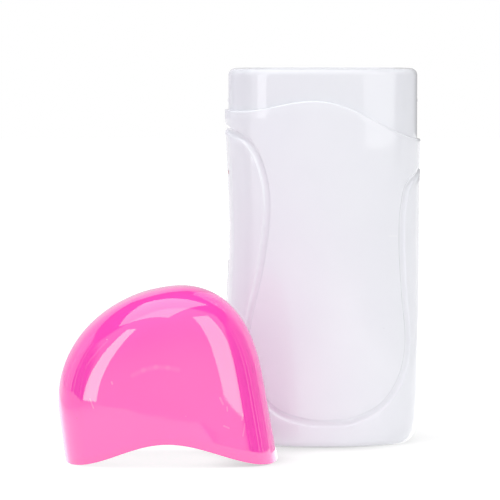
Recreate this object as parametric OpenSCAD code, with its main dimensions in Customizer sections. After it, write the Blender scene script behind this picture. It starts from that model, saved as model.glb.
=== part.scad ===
// Roll-on wax warmer with its cap lifted off and stood beside it. Millimetres, front face towards -Y,
// origin on the table under the middle of the body.

/* [Body] */
// Width of the body at its widest
body_w = 70.4; // [69:0.2:76]
// Depth of the body from front to back
body_d = 50; // [49:0.5:54]
// Height from the table to the rim of the collar
body_h = 134; // [130:1:144]
// Crown radius of the front and back faces
face_r = 60; // [54:1:80]
// Crown radius of the two narrow sides
side_r = 35; // [30:1:42]
// Radius of the four upright corners
corner_r = 14; // [13:0.5:15]
// Thickness of the moulded shells
wall = 2.2; // [1.8:0.1:2.4]
// Radius around the foot of the shells
foot_r = 4; // [3:0.5:5]
// How far the narrow sides draw in towards the foot
tuck = 1.4; // [0:0.2:2]
// Height at which the sides start to draw in
tuck_h = 22; // [16:1:28]
// Depth of the waist in the left side
waist_left = 1.4; // [0.6:0.1:1.6]
// Depth of the waist in the right side
waist_right = 0.3; // [0:0.1:1]
// Height of the middle of the waist
waist_z = 76; // [70:1:80]
// Height that the waist is spread over
waist_len = 90; // [70:2:96]

/* [Ledge, collar and groove] */
// Height of collar that shows above the middle of the ledge
collar_show = 20; // [18:0.5:24]
// Step from the shells in to the collar
collar_step = 1.3; // [1.1:0.1:1.5]
// Slope of the ledge across the front, in degrees
ledge_tilt = 8.6; // [6:0.2:10]
// Height of the wave in the ledge
ledge_rise = 8.4; // [6:0.2:10]
// Radius around the rim of the collar
rim_r = 2.5; // [1.5:0.25:3]
// Wall of the collar
collar_wall = 1.8; // [1.4:0.1:2]
// Width of the groove around the front panel
groove_w = 2.3; // [1.6:0.1:3]
// Depth of the groove
groove_depth = 0.7; // [0.4:0.1:1]

/* [Cap] */
// How far the cap stands proud of the body all round
cap_over = 0.6; // [0.4:0.1:0.8]
// Wall of the cap
cap_wall = 1.5; // [1.2:0.1:1.5]
// Height of the cap above the middle of its mouth
cap_h = 59; // [52:1:66]
// Height at which the cap starts to round over
cap_spring = 22; // [18:1:26]
// How far the top of the cap lies right of its middle
cap_lean = 6.6; // [0:0.2:9]
// Draft of the cap's walls, in degrees
cap_draft = 1.4; // [0.5:0.1:2]
// Where the cap stands, left of the body's middle
cap_left = 55; // [54:1:70]
// How much further forward than the body's depth the middle of the cap stands
cap_ahead = 1; // [0:1:20]

/* [Wax chamber] */
// Room between the heated sleeve and the shells at each side
side_room = 6; // [5.8:0.1:7]
// Room between the heated sleeve and the shells at the front and back
face_room = 5.3; // [5.2:0.1:6.5]
// Corner radius inside the heated sleeve
chamber_r = 12.5; // [12:0.25:14]
// Wall of the aluminium sleeve
sleeve_wall = 1; // [0.8:0.1:1]
// Clearance of the throat around the sleeve's bore
throat_gap = 0.5; // [0.3:0.1:0.5]
// Wall of the throat
throat_wall = 1.5; // [1.2:0.1:1.5]
// How far the throat ends above the foot of the collar's skirt
throat_rise = 5.8; // [5:0.2:10]
// Thickness of the ring seal on the sleeve
seal_h = 1.5; // [1:0.1:1.6]

/* [Heater] */
// Width of the heater case
heater_w = 24; // [20:0.5:24]
// Height of the heater case above the table
heater_z = 34; // [34:0.5:37]
// Sheet thickness of the heater case
case_t = 0.4; // [0.3:0.05:0.5]
// Thickness of each ceramic heating stone
stone_t = 1.3; // [1:0.1:1.4]
// Gap between the ceramic heating stones
stone_gap = 1.5; // [1:0.1:3]
// Thickness of each electrode strip
strip_t = 0.25; // [0.2:0.05:0.3]
// Thickness of the insulating sheet
sheet_t = 0.3; // [0.2:0.05:0.4]
// Thickness of the spring band
band_t = 0.5; // [0.4:0.05:0.5]
// Height of the spring band
band_h = 10; // [6:0.5:10]

/* [Window and lamp] */
// Height of the level window
window_h = 38; // [30:1:40]
// Width of the level window
window_w = 5; // [4:0.25:5.5]
// Height of the window's lower end above the table
window_z = 27; // [26:0.5:28]
// Diameter of the red lamp lens
lens_d = 2.4; // [2:0.1:3]
// How far the red lamp lens lies below the collar's skirt
lens_below = 6.7; // [5:0.1:8]
// Diameter of the glow lamp
lamp_d = 3.4; // [3:0.1:3.6]

/* [Inlet and fasteners] */
// Spacing of the two inlet pins
pin_pitch = 8.6; // [8.4:0.1:8.8]
// Diameter of the inlet pins
pin_d = 2.36; // [2.3:0.02:2.5]
// Radius of the round ends of the inlet well
well_r = 4.5; // [4.3:0.1:4.6]
// Depth of the inlet well
well_depth = 10.5; // [9:0.5:11]
// Height of the inlet's middle above the table
inlet_z = 12; // [11.5:0.25:12.25]
// Diameter of a screw head
head_d = 3.8; // [3.4:0.1:3.8]
// Diameter of a screw shank
shank_d = 1.9; // [1.6:0.1:2]
// Thickness of the base plate and of the floor around it
floor_t = 2.4; // [2:0.1:2.6]
// Diameter of the mains leads
lead_d = 1.6; // [1.2:0.1:1.8]
// Diameter of the thin lamp leads
lamp_lead_d = 0.9; // [0.8:0.1:1]

/* [Hidden] */
$fn = 48;
slip = 0.15;      // play around a piece that drops into another
snug = 0.05;      // play around a pin or shank in its hole
cut = 1;          // extra length of a cutting tool past the face it cuts
half_w = body_w / 2;
half_d = body_d / 2;
ledge_z = body_h - collar_show;
ledge_slope = tan(ledge_tilt);
sleeve_x = half_w - wall - side_room;
sleeve_y = half_d - wall - face_room;
chamber_w = 2 * (sleeve_x - sleeve_wall);
chamber_d = 2 * (sleeve_y - sleeve_wall);
room_x = half_w - wall - side_room / 2;
skirt_z = ledge_z - ledge_slope * half_w - 5;
lens_z = skirt_z - lens_below;
lamp_z = lens_z - 5;

// Upright section: crowned faces, crowned sides and round corners, all tangent.
side_x = half_w - side_r;
face_y = half_d - face_r;
corner = let (a = face_r - corner_r, b = side_r - corner_r, gap = norm([side_x, face_y]),
        along = (a * a - b * b + gap * gap) / (2 * gap), across = sqrt(a * a - along * along),
        u = [side_x, -face_y] / gap)
    [along * u[0] + across * u[1], face_y + along * u[1] - across * u[0]];
side_turn = atan2(corner[1], corner[0] - side_x);
face_turn = atan2(corner[1] - face_y, corner[0]);

function dir(a) = [cos(a), sin(a)];
function arc(c, r, a0, a1, steps) = [for (i = [0:steps]) c + r * dir(a0 + (a1 - a0) * i / steps)];
function but_last(p) = [for (i = [0:len(p) - 2]) p[i]];
function quarter(inset) = concat(
    but_last(arc([side_x, 0], side_r - inset, 0, side_turn, 2)),
    but_last(arc(corner, corner_r - inset, side_turn, face_turn, 6)),
    arc([0, face_y], face_r - inset, face_turn, 90, 5));
function plan(inset) = let (q = quarter(inset), n = len(q) - 1) concat(
    [for (i = [0:n - 1]) q[i]], [for (i = [n:-1:1]) [-q[i][0], q[i][1]]],
    [for (i = [0:n - 1]) -q[i]], [for (i = [n:-1:1]) [q[i][0], -q[i][1]]]);

// Front outline: the foot, the draw-in, the two waists and the wavy ledge.
function wave(x) = let (t = min(1, abs(x) / half_w))
    ledge_z - ledge_slope * x + ledge_rise * (1 + cos(180 * t)) / 2;
function waist(z) = let (t = abs(z - waist_z) / (waist_len / 2)) t < 1 ? pow(cos(90 * t), 2) : 0;
function side_at(z, dip) = half_w - dip * waist(z) - tuck * max(0, 1 - z / tuck_h);
foot_steps = 5;
side_steps = 14;
foot_rise = [for (i = [0:foot_steps]) foot_r * (1 - cos(90 * i / foot_steps))];
foot_in = [for (i = [0:foot_steps]) foot_r * (1 - sin(90 * i / foot_steps))];
function side_line(dip, top, inset) = concat(
    [for (i = [0:foot_steps]) [side_at(foot_rise[i], dip) - foot_in[i] - inset, foot_rise[i]]],
    [for (i = [1:side_steps]) let (z = foot_r + (top - foot_r) * i / side_steps)
        [side_at(z, dip) - inset, z]]);
wave_steps = 30;
function turned_back(p) = [for (i = [len(p) - 1:-1:0]) p[i]];
function outline(inset) = concat(
    side_line(waist_right, wave(half_w), inset),
    [for (i = [1:wave_steps - 1]) let (x = half_w * (1 - 2 * i / wave_steps)) [x, wave(x)]],
    turned_back([for (p = side_line(waist_left, wave(-half_w), inset)) [-p[0], p[1]]]));
function hollow_outline(inset) = concat(
    side_line(waist_right, body_h + cut, inset),
    turned_back([for (p = side_line(waist_left, body_h + cut, inset)) [-p[0], p[1]]]));
foot_profile = concat(
    [for (i = [0:foot_steps]) [half_d - foot_in[i], foot_rise[i]]],
    [[half_d, body_h], [-half_d, body_h]],
    turned_back([for (i = [0:foot_steps]) [foot_in[i] - half_d, foot_rise[i]]]));

module through_front(points) rotate([90, 0, 0])
    linear_extrude(body_d + 2 * cut, center = true) polygon(points);
module through_side(points) rotate([90, 0, 90])
    linear_extrude(body_w + 2 * cut, center = true) polygon(points);
module upright(inset, low, high) translate([0, 0, low]) linear_extrude(high - low) polygon(plan(inset));
module along_y(x, z, d, from, to) translate([x, to, z]) rotate([90, 0, 0])
    cylinder(d = d, h = to - from);
module rounded(w, d, r) {
    square([w - 2 * r, d], center = true);
    square([w, d - 2 * r], center = true);
    for (x = [-1, 1], y = [-1, 1]) translate([x * (w / 2 - r), y * (d / 2 - r)]) circle(r);
}
module stadium(pitch, r) {
    square([pitch, 2 * r], center = true);
    for (x = [-1, 1]) translate([x * pitch / 2, 0]) circle(r);
}

// The groove: a smooth line through a few chosen points, from the left side around the panel to the right.
// Points are given from the nearer side, and from the ledge above the waist or from the table below it.
left_high = [[-0.8, -1], [4.8, -4], [10.1, -10.3], [13.1, -20.5], [13.4, -32]];
left_low = [[11.2, 63.7], [7.9, 46], [6.8, 33], [10.2, 20.5], [17.7, 12.4], [28, 9.1]];
right_low = [[33, 8.6], [23.7, 9.9], [13.9, 15.2], [7.6, 25.5], [5.6, 38], [6.8, 54]];
right_high = [[7.7, -42], [7.1, -28], [4.2, -19.8], [-0.8, -14.5]];
groove_line = concat(
    [for (p = left_high) [p[0] - half_w, p[1] + ledge_z]], [for (p = left_low) [p[0] - half_w, p[1]]],
    [for (p = right_low) [half_w - p[0], p[1]]], [for (p = right_high) [half_w - p[0], p[1] + ledge_z]]);
function bend(a, b, c, d, t) = 0.5 * ((2 * b) + (c - a) * t + (2 * a - 5 * b + 4 * c - d) * t * t
    + (3 * b - a - 3 * c + d) * t * t * t);
function smooth(p, steps) = let (n = len(p) - 1) concat(
    [for (i = [0:n - 1], s = [0:steps - 1])
        bend(p[max(i - 1, 0)], p[i], p[i + 1], p[min(i + 2, n)], s / steps)], [p[n]]);
function unit(v) = v / norm(v);
function headings(p) = let (n = len(p) - 1)
    [for (i = [0:n]) unit(p[min(i + 1, n)] - p[max(i - 1, 0)])];
function ribbon(p, w) = let (t = headings(p)) concat(
    [for (i = [0:len(p) - 1]) p[i] + w / 2 * [t[i][1], -t[i][0]]],
    [for (i = [len(p) - 1:-1:0]) p[i] - w / 2 * [t[i][1], -t[i][0]]]);

module shell_skin() difference() {
    intersection() {
        upright(0, 0, body_h);
        through_front(outline(0));
        through_side(foot_profile);
    }
    difference() {
        through_front(ribbon(smooth(groove_line, 3), groove_w));
        intersection() {
            upright(groove_depth, -cut, body_h);
            through_front(hollow_outline(groove_depth));
        }
    }
}
module hollow(inset, low, high) intersection() {
    upright(inset, low, high);
    through_front(hollow_outline(inset));
}

// Seat: the floor of the wax chamber, carried on two posts that the base screws pull down.
seat_z = 20;
seat_t = 2.5;
seat_top = seat_z + seat_t;
seat_in = wall + 0.3;
seat_lip = 1.2;
seat_lip_h = 2;
post_d = 6.4;
posts = [[12, -10], [-12, -10]];
post_hole = 9;
notch_x = 14.6;
notch_w = 3;
side_notch = [sleeve_x + 2, 8];

// Inlet: a two-pin socket whose well opens at the back, low down.
inlet_r = well_r + 1.5;
inlet_lip = 1.1;
inlet_back = 2.5;
inlet_flange = 1.2;
function face_depth(x, inset) = face_y + sqrt(pow(face_r - inset, 2) - x * x);
inlet_face = face_depth(pin_pitch / 2 + inlet_r, 0) - 0.1;
inlet_end = inlet_face - well_depth - inlet_back;
flange_y = face_depth(pin_pitch / 2 + inlet_r + inlet_lip, wall) - slip - inlet_flange;
pin_tip = inlet_face - 1.4;
pin_tail = inlet_end - 3;
tail_d = 1.7;

// Screws that hold the two shells together, as [x, z, depth of the head's seat].
low_boss_x = half_w - 11.2;
low_boss_z = 13;
high_boss_x = room_x + 0.2;
high_boss_z = lens_z - 13;
boss_d = 5.4;
screw_reach = 8;
shell_screws = [[low_boss_x, low_boss_z, 9], [-low_boss_x, low_boss_z, 9],
    [high_boss_x, high_boss_z, 6], [-high_boss_x, high_boss_z, 6]];
head_h = 1.6;

// The floor opening is stepped, so the plate is trapped when the shells close on it.
opening_in = 8;
flange_in = opening_in - 2;
flange_t = 2;
flange_top = floor_t + flange_t;

lens_y = -5.4;
lens_in = 2.9;
lens_face = side_at(lens_z, waist_left);

module window_slot(grow) translate([-half_w - cut, -window_w / 2 - grow, window_z - grow])
    cube([half_w / 2, window_w + 2 * grow, window_h + 2 * grow]);

module shell_blank(side) difference() {
    union() {
        difference() {
            shell_skin();
            hollow(wall, floor_t, body_h);
            upright(opening_in, -cut, floor_t + cut);
        }
        for (s = shell_screws) intersection() {
            along_y(s[0], s[1], boss_d, side > 0 ? 0 : -half_d, side > 0 ? half_d : 0);
            upright(wall / 2, 0, body_h);
            through_front(outline(wall / 2));
        }
    }
    translate([-body_w, side > 0 ? -body_d : 0, -cut]) cube([2 * body_w, body_d, body_h + 2 * cut]);
    upright(flange_in - slip, floor_t, flange_top + slip);
    window_slot(slip);
}

module front_shell() color("white") difference() {
    shell_blank(-1);
    for (s = shell_screws) along_y(s[0], s[1], shank_d + 2 * snug, -screw_reach - cut, cut);
    translate([-half_w - cut, lens_y, lens_z]) rotate([0, 90, 0])
        cylinder(d = lens_d + 2 * snug, h = wall + 3 * cut);
}

module rear_shell() color("white") difference() {
    shell_blank(1);
    for (s = shell_screws) {
        along_y(s[0], s[1], shank_d + 2 * snug, -cut, s[2] + cut);
        along_y(s[0], s[1], head_d + 4 * snug, s[2], half_d + cut);
    }
    translate([0, half_d - wall - 4 * cut, inlet_z]) rotate([-90, 0, 0])
        linear_extrude(wall + 5 * cut) stadium(pin_pitch, inlet_r + slip);
}

// Collar: the part above the ledge shows, its skirt drops inside the shells, its throat meets the seal.
skirt_in = wall + 0.1;
rim_t = 2.2;
throat_z = skirt_z + throat_rise;
sleeve_h = throat_z - seal_h - seat_top;
rim_steps = 4;
rim_in = [for (i = [0:rim_steps]) rim_r * (1 - cos(90 * i / rim_steps))];
rim_fall = [for (i = [0:rim_steps]) rim_r * (1 - sin(90 * i / rim_steps))];
function rim_profile(half) = concat([[half, 0]],
    [for (i = [0:rim_steps]) [half - rim_in[i], body_h - rim_fall[i]]],
    [for (i = [rim_steps:-1:0]) [rim_in[i] - half, body_h - rim_fall[i]]], [[-half, 0]]);
snap_z = ledge_z + 8.4;
snap_r = 1.6;
snap_out = 0.25;

module chamber_collar() color("white") difference() {
    union() {
        difference() {
            intersection() {
                upright(collar_step, skirt_z, body_h);
                through_front(rim_profile(half_w - collar_step));
                through_side(rim_profile(half_d - collar_step));
            }
            through_front(outline(0));
        }
        hollow(skirt_in, skirt_z, ledge_z + ledge_rise + cut);
        for (x = [-1, 1])
            translate([x * (half_w - collar_step + snap_out - snap_r), 0, snap_z]) sphere(snap_r);
    }
    difference() {
        hollow(skirt_in + collar_wall, skirt_z - cut, body_h - rim_t);
        translate([0, 0, throat_z]) linear_extrude(body_h) throat_outline(throat_wall);
    }
    translate([0, 0, skirt_z - cut]) linear_extrude(body_h) throat_outline(0);
}
module throat_outline(grow) rounded(chamber_w + 2 * (throat_gap + grow),
    chamber_d + 2 * (throat_gap + grow), chamber_r + throat_gap + grow);

module ring(grow_out, grow_in) difference() {
    rounded(chamber_w + 2 * grow_out, chamber_d + 2 * grow_out, chamber_r + grow_out);
    rounded(chamber_w + 2 * grow_in, chamber_d + 2 * grow_in, chamber_r + grow_in);
}

module heating_sleeve() color("silver") difference() {
    translate([0, 0, seat_top]) linear_extrude(sleeve_h) ring(sleeve_wall, 0);
    window_slot(0);
}

module collar_seal() color("orangered") intersection() {
    translate([0, 0, seat_top + sleeve_h]) linear_extrude(seal_h) ring(throat_gap + throat_wall, 0);
    hollow(skirt_in + collar_wall + slip, skirt_z, body_h);
}

module sleeve_seat() color("ivory") difference() {
    union() {
        hollow(seat_in, seat_z, seat_top);
        translate([0, 0, seat_top]) linear_extrude(seat_lip_h)
            ring(sleeve_wall + slip + seat_lip, sleeve_wall + slip);
        for (p = posts) translate([p[0], p[1], flange_top]) cylinder(d = post_d, h = seat_z - flange_top);
    }
    for (p = posts) translate([p[0], p[1], flange_top - cut])
        cylinder(d = shank_d + 2 * snug, h = post_hole + cut);
    for (x = [-1, 1]) translate([x * notch_x - notch_w / 2, sleeve_y + 0.1, seat_z - cut])
        cube([notch_w, half_d, seat_t + 2 * cut]);
    translate([-notch_x - notch_w / 2, sleeve_y + 0.1, seat_top])
        cube([2 * notch_x + notch_w, half_d, seat_lip_h + cut]);
    translate([side_notch[0] - notch_w / 2, side_notch[1] - notch_w / 2, seat_z - cut])
        cube([half_w, notch_w, seat_t + seat_lip_h + 2 * cut]);
}

base_hole_d = 2.3;
module base_plate() color("white") difference() {
    union() {
        upright(opening_in + slip, 0, floor_t + cut / 2);
        upright(flange_in, floor_t + slip / 2, flange_top);
    }
    for (p = posts) translate([p[0], p[1], -cut]) {
        cylinder(d = base_hole_d, h = flange_top + 2 * cut);
        cylinder(d = head_d + 4 * snug, h = head_h + cut + 0.2);
    }
}

// Heater: a flat case on the back of the sleeve with electrode, stones, electrode and sheet inside.
heater_y = sleeve_y;
heater_h = lamp_z - 4 - heater_z;
stack_t = 2 * strip_t + stone_t + sheet_t;
heater_t = stack_t + 2 * case_t;
stone_w = heater_w - 2 * case_t - 1;
stone_margin = 3;
stone_h = (heater_h - 2 * stone_margin - 2 * stone_gap) / 3;
tab_w = 2;
tab_drop = 5;
tab_step = 1.2;
tab_x = 8;
near_y = heater_y + case_t;
far_y = near_y + strip_t + stone_t;
crimp_d = 3.2;
crimp_bore = 2.7;
crimp_h = 5;
crimp_y = heater_y + crimp_d / 2 + 0.1;
crimp_z = heater_z - tab_drop - 2;
lead_end = heater_z - tab_drop - 0.2;

module flat(w, t, h, y, z) translate([-w / 2, y, z]) cube([w, t, h]);

module heater_case() color("gainsboro") difference() {
    flat(heater_w, heater_t, heater_h, heater_y, heater_z);
    flat(heater_w - 2 * case_t, stack_t, heater_h + 2 * cut, near_y, heater_z - cut);
}
module ptc_stones() color("dimgray") for (i = [0:2])
    flat(stone_w, stone_t, stone_h, near_y + strip_t, heater_z + stone_margin + i * (stone_h + stone_gap));
// Each strip has a tab that steps out to the middle of its crimp sleeve.
module electrode_strips() color("goldenrod") for (s = [[near_y, 1], [far_y, -1]])
    let (left = s[1] * tab_x - tab_w / 2, low = min(s[0], crimp_y), high = max(s[0], crimp_y)) {
        flat(stone_w, strip_t, heater_h - 4, s[0], heater_z + 2);
        translate([left, s[0], heater_z - tab_step]) cube([tab_w, strip_t, tab_step + 2]);
        translate([left, low, heater_z - tab_step]) cube([tab_w, high - low + strip_t, strip_t]);
        translate([left, crimp_y, heater_z - tab_drop]) cube([tab_w, strip_t, tab_drop - tab_step + strip_t]);
    }
module insulating_sheet() color("khaki")
    flat(heater_w - 2 * case_t - 0.4, sheet_t, heater_h, far_y + strip_t, heater_z);

band_z = heater_z + heater_h - 21;
band_slit = 6;
module band_shape(grow) {
    rounded(2 * (sleeve_x + grow), 2 * (sleeve_y + grow), chamber_r + sleeve_wall + grow);
    translate([-heater_w / 2 - grow, 0]) square([heater_w + 2 * grow, heater_y + heater_t + grow]);
}
module clamp_band() color("slategray") translate([0, 0, band_z]) linear_extrude(band_h) difference() {
    band_shape(snug + band_t);
    band_shape(snug);
    translate([-band_slit / 2, -body_d]) square([band_slit, body_d - chamber_d / 2]);
}

fuse_x = room_x - 0.2;
fuse_y = 5;
fuse_z = 36;
fuse_d = 3.6;
fuse_h = 11;
module thermal_fuse() color("lightsteelblue") translate([fuse_x, fuse_y, fuse_z])
    cylinder(d = fuse_d, h = fuse_h);

module inlet_socket() color("dimgray") difference() {
    union() {
        translate([0, inlet_end, inlet_z]) rotate([-90, 0, 0])
            linear_extrude(inlet_face - inlet_end) stadium(pin_pitch, inlet_r);
        translate([0, flange_y, inlet_z]) rotate([-90, 0, 0])
            linear_extrude(inlet_flange) stadium(pin_pitch, inlet_r + inlet_lip);
    }
    translate([0, inlet_face - well_depth, inlet_z]) rotate([-90, 0, 0])
        linear_extrude(well_depth + cut) stadium(pin_pitch, well_r);
    for (x = [-1, 1]) along_y(x * pin_pitch / 2, inlet_z, tail_d + 2 * snug, inlet_end - cut, inlet_face);
}
module inlet_pins() color("gold") for (x = [-1, 1]) {
    along_y(x * pin_pitch / 2, inlet_z, pin_d, inlet_face - well_depth, pin_tip);
    along_y(x * pin_pitch / 2, inlet_z, tail_d, pin_tail, inlet_face - well_depth);
}

// Leads: a round tube along a smoothed route.
function squared(n, t) = unit(n - (n * t) * t);
function squared_ends(t, p) = let (n = len(p) - 1)
    concat([unit(p[1] - p[0])], [for (i = [1:len(t) - 2]) t[i]], [unit(p[n] - p[n - 1])]);
function carried(t, n, i) = i == len(t) ? [] : let (m = squared(n, t[i])) concat([m], carried(t, m, i + 1));
module loft(rings) {
    k = len(rings[0]);
    last = len(rings) - 1;
    polyhedron(points = [for (r = rings, p = r) p], faces = concat([[for (j = [0:k - 1]) j]],
        [for (i = [0:last - 1], j = [0:k - 1]) let (a = i * k + j, b = i * k + (j + 1) % k) [a, a + k, b + k]],
        [for (i = [0:last - 1], j = [0:k - 1]) let (a = i * k + j, b = i * k + (j + 1) % k) [a, b + k, b]],
        [[for (j = [k - 1:-1:0]) last * k + j]]));
}
module lead(route, d) {
    p = smooth(route, 2);
    t = squared_ends(headings(p), route);
    n = carried(t, [0.3, 0.2, 1], 0);
    loft([for (i = [0:len(p) - 1]) [for (j = [0:7])
        p[i] + d / 2 * (cos(45 * j) * n[i] + sin(45 * j) * cross(t[i], n[i]))]]);
}
lead_off = 0.5;   // the two wires in a crimp sleeve lie on either side of its middle
lamp_off = 0.8;
tail = pin_pitch / 2;
crimp_in = tab_x + lead_off;
thin_in = tab_x - lamp_off;

module live_lead() color("saddlebrown") lead([[tail, pin_tail, inlet_z], [tail, pin_tail - 2, inlet_z],
    [7, 6, 13], [13, 6, 15.5], [22, 8, 17.5], [sleeve_x + 1, 8, 18.5], [fuse_x - 0.4, 7.4, 22], [fuse_x, 6, 28],
    [fuse_x, fuse_y, fuse_z - 2], [fuse_x, fuse_y, fuse_z]], lead_d);
module fuse_lead() color("saddlebrown") lead([[fuse_x, fuse_y, fuse_z + fuse_h],
    [fuse_x, fuse_y, fuse_z + fuse_h + 1.5], [fuse_x - 0.3, 7, fuse_z + 13.6],
    [sleeve_x + 1, sleeve_y - 6.9, 47.6], [sleeve_x - 3, sleeve_y - 2.5, 40],
    [sleeve_x - 6.4, sleeve_y - 0.7, 33], [16, crimp_y - 0.6, 27.4], [12.5, crimp_y + 0.3, 24.6],
    [crimp_in + 0.9, crimp_y, 24.8], [crimp_in, crimp_y, crimp_z], [crimp_in, crimp_y, lead_end]], lead_d);
module neutral_lead() color("steelblue") lead([[-tail, pin_tail, inlet_z], [-tail, pin_tail - 2, inlet_z],
    [-7, 6.5, 13], [-12.4, 10, 16], [-14.2, crimp_y - 4.2, 17.2], [-notch_x, crimp_y - 0.6, 18.8],
    [0.2 - notch_x, crimp_y, 22.8], [-12.5, crimp_y + 0.2, 24.5], [-crimp_in - 0.9, crimp_y, 24.8],
    [-crimp_in, crimp_y, crimp_z], [-crimp_in, crimp_y, lead_end]], lead_d);
module crimp_sleeves() color("lightgray") for (x = [-1, 1]) translate([x * tab_x, crimp_y, crimp_z])
    difference() {
        cylinder(d = crimp_d, h = crimp_h);
        translate([0, 0, -cut]) cylinder(d = crimp_bore, h = crimp_h + 2 * cut);
    }

lamp_x = 0.4 - room_x;
lamp_y = lens_y + 0.8;
lamp_h = 9.5;
lamp_leg = 0.8;
module neon_lamp() color("tomato") translate([lamp_x, lamp_y, lamp_z]) {
    cylinder(d = lamp_d, h = lamp_h - lamp_d / 2);
    translate([0, 0, lamp_h - lamp_d / 2]) sphere(d = lamp_d);
}
module indicator_lens() color("red") translate([-lens_face, lens_y, lens_z]) rotate([0, 90, 0])
    intersection() {
        translate([0, 0, -0.3]) cylinder(d = lens_d, h = lens_in);
        translate([0, 0, 2.7]) sphere(3);
    }
resistor_z = 45;
resistor_h = 6;
resistor_d = 2;
riser_x = sleeve_x - 9.4;
riser_y = face_depth(riser_x, wall) - resistor_d / 2 - slip;
module lamp_resistor() color("burlywood") translate([-riser_x, riser_y, resistor_z])
    cylinder(d = resistor_d, h = resistor_h);
// One wire climbs on the left through the resistor, the other on the right and over the heater.
thin_start = [[thin_in, crimp_y, lead_end], [thin_in, crimp_y + 0.2, crimp_z - 0.7], [9, crimp_y + 1.6, 25.4],
    [12.5, crimp_y + 1.5, 27], [15.5, crimp_y + 0.7, 31], [riser_x - 0.2, riser_y + 0.2, 37]];
module lamp_leads() color("firebrick") {
    lead(concat([for (p = thin_start) [-p[0], p[1], p[2]]],
        [[-riser_x, riser_y, resistor_z - 2], [-riser_x, riser_y, resistor_z]]), lamp_lead_d);
    lead([[-riser_x, riser_y, resistor_z + resistor_h], [-riser_x, riser_y, resistor_z + resistor_h + 2],
        [-riser_x, riser_y, lamp_z - 12], [7 - sleeve_x, sleeve_y - 0.1, lamp_z - 5.6],
        [2.6 - sleeve_x, sleeve_y - 2.5, lamp_z - 3.4], [-sleeve_x - 1, sleeve_y - 8, lamp_z - 3.2],
        [-sleeve_x - 2.8, 3, lamp_z - 3.4], [lamp_x - 0.3, lamp_y + 2.6, lamp_z - 3.2],
        [lamp_x, lamp_y + lamp_leg, lamp_z - 1.5], [lamp_x, lamp_y + lamp_leg, lamp_z]], lamp_lead_d);
    lead(concat(thin_start, [[riser_x, riser_y, 44], [riser_x, riser_y, lamp_z - 10],
        [sleeve_x - 11, sleeve_y + 1.7, lamp_z - 2], [8, sleeve_y + 2.9, lamp_z - 0.2],
        [-4, sleeve_y + 3.1, lamp_z - 0.2], [-14, sleeve_y + 2.1, lamp_z - 0.4],
        [7 - sleeve_x, sleeve_y + 0.1, lamp_z - 0.6], [2 - sleeve_x, sleeve_y - 3.7, lamp_z - 0.8],
        [-sleeve_x - 1.6, sleeve_y - 9, lamp_z - 1], [-sleeve_x - 3.8, 2, lamp_z - 1],
        [lamp_x - 1.3, lamp_y + 1.8, lamp_z - 1.4], [lamp_x - 0.9, lamp_y - 0.6, lamp_z - 1.8],
        [lamp_x, lamp_y - lamp_leg, lamp_z - 0.9], [lamp_x, lamp_y - lamp_leg, lamp_z]]), lamp_lead_d);
}

module housing_screws() color("silver") for (s = shell_screws) {
    along_y(s[0], s[1], head_d, s[2], s[2] + head_h);
    along_y(s[0], s[1], shank_d, -screw_reach, s[2]);
}
module base_screws() color("silver") for (p = posts) translate([p[0], p[1], 0.2]) {
    cylinder(d = head_d, h = head_h);
    cylinder(d = shank_d, h = flange_top + post_hole - 1);
}

module level_window() color("azure", 0.6) {
    difference() {
        intersection() {
            hollow(0.2, floor_t, body_h);
            window_slot(0);
        }
        hollow(wall, 0, body_h);
    }
    intersection() {
        difference() {
            hollow(wall, 0, body_h);
            hollow(wall + 0.8, 0, body_h);
        }
        window_slot(1.2);
    }
}

// Cap: drawn on the body, then lifted off, tipped until both ends of its mouth touch the table.
cap_rings = 12;
cap_end = 86;
cap_half_w = half_w + cap_over;
cap_half_d = half_d + cap_over;
spring_z = ledge_z + cap_spring;
function squash(u, n) = pow(max(0, 1 - pow(u, n)), 1 / n);
function cap_level(a, shrink) = let (u = sin(a), left = cap_half_w - shrink + cap_lean,
        right = cap_half_w - shrink - cap_lean,
        low = cap_lean - left * squash(u, 2), high = cap_lean + right * squash(u, 2.4))
    [(low + high) / 2, (high - low) / 2, (cap_half_d - shrink) * squash(u, 3.2),
        spring_z + (cap_h - cap_spring - shrink) * u];
function cap_ring(a, shrink) = let (level = cap_level(a, shrink))
    [for (p = plan(-cap_over))
        [level[0] + p[0] / cap_half_w * level[1], p[1] / cap_half_d * level[2], level[3]]];
function flared(z, shrink, half) = 1 + ((spring_z - z) * tan(cap_draft) - shrink) / half;
function cap_skirt(t, shrink) = [for (p = plan(-cap_over))
    let (low = wave(p[0] * flared(wave(p[0]), shrink, cap_half_w)), z = low + (spring_z - low) * t)
        [p[0] * flared(z, shrink, cap_half_w), p[1] * flared(z, shrink, cap_half_d), z]];
module cap_shell() loft(concat(
    [for (i = [cap_rings:-2:1]) cap_ring(i * cap_end / cap_rings, cap_wall)],
    [for (t = [1, 0]) cap_skirt(t, cap_wall)],
    [for (t = [0, 0.5, 1]) cap_skirt(t, 0)],
    [for (i = [1:cap_rings]) cap_ring(i * cap_end / cap_rings, 0)]));
module cap() color("hotpink") translate([-cap_left, -body_d - cap_ahead, 0]) rotate([0, -ledge_tilt, 0])
    translate([0, 0, -ledge_z]) cap_shell();

front_shell();
rear_shell();
chamber_collar();
base_plate();
cap();
level_window();
indicator_lens();
heating_sleeve();
sleeve_seat();
collar_seal();
heater_case();
ptc_stones();
electrode_strips();
insulating_sheet();
clamp_band();
thermal_fuse();
inlet_socket();
inlet_pins();
live_lead();
fuse_lead();
neutral_lead();
lamp_leads();
neon_lamp();
lamp_resistor();
crimp_sleeves();
housing_screws();
base_screws();
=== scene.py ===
import math

import bmesh
import bpy
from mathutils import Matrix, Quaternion, Vector


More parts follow.
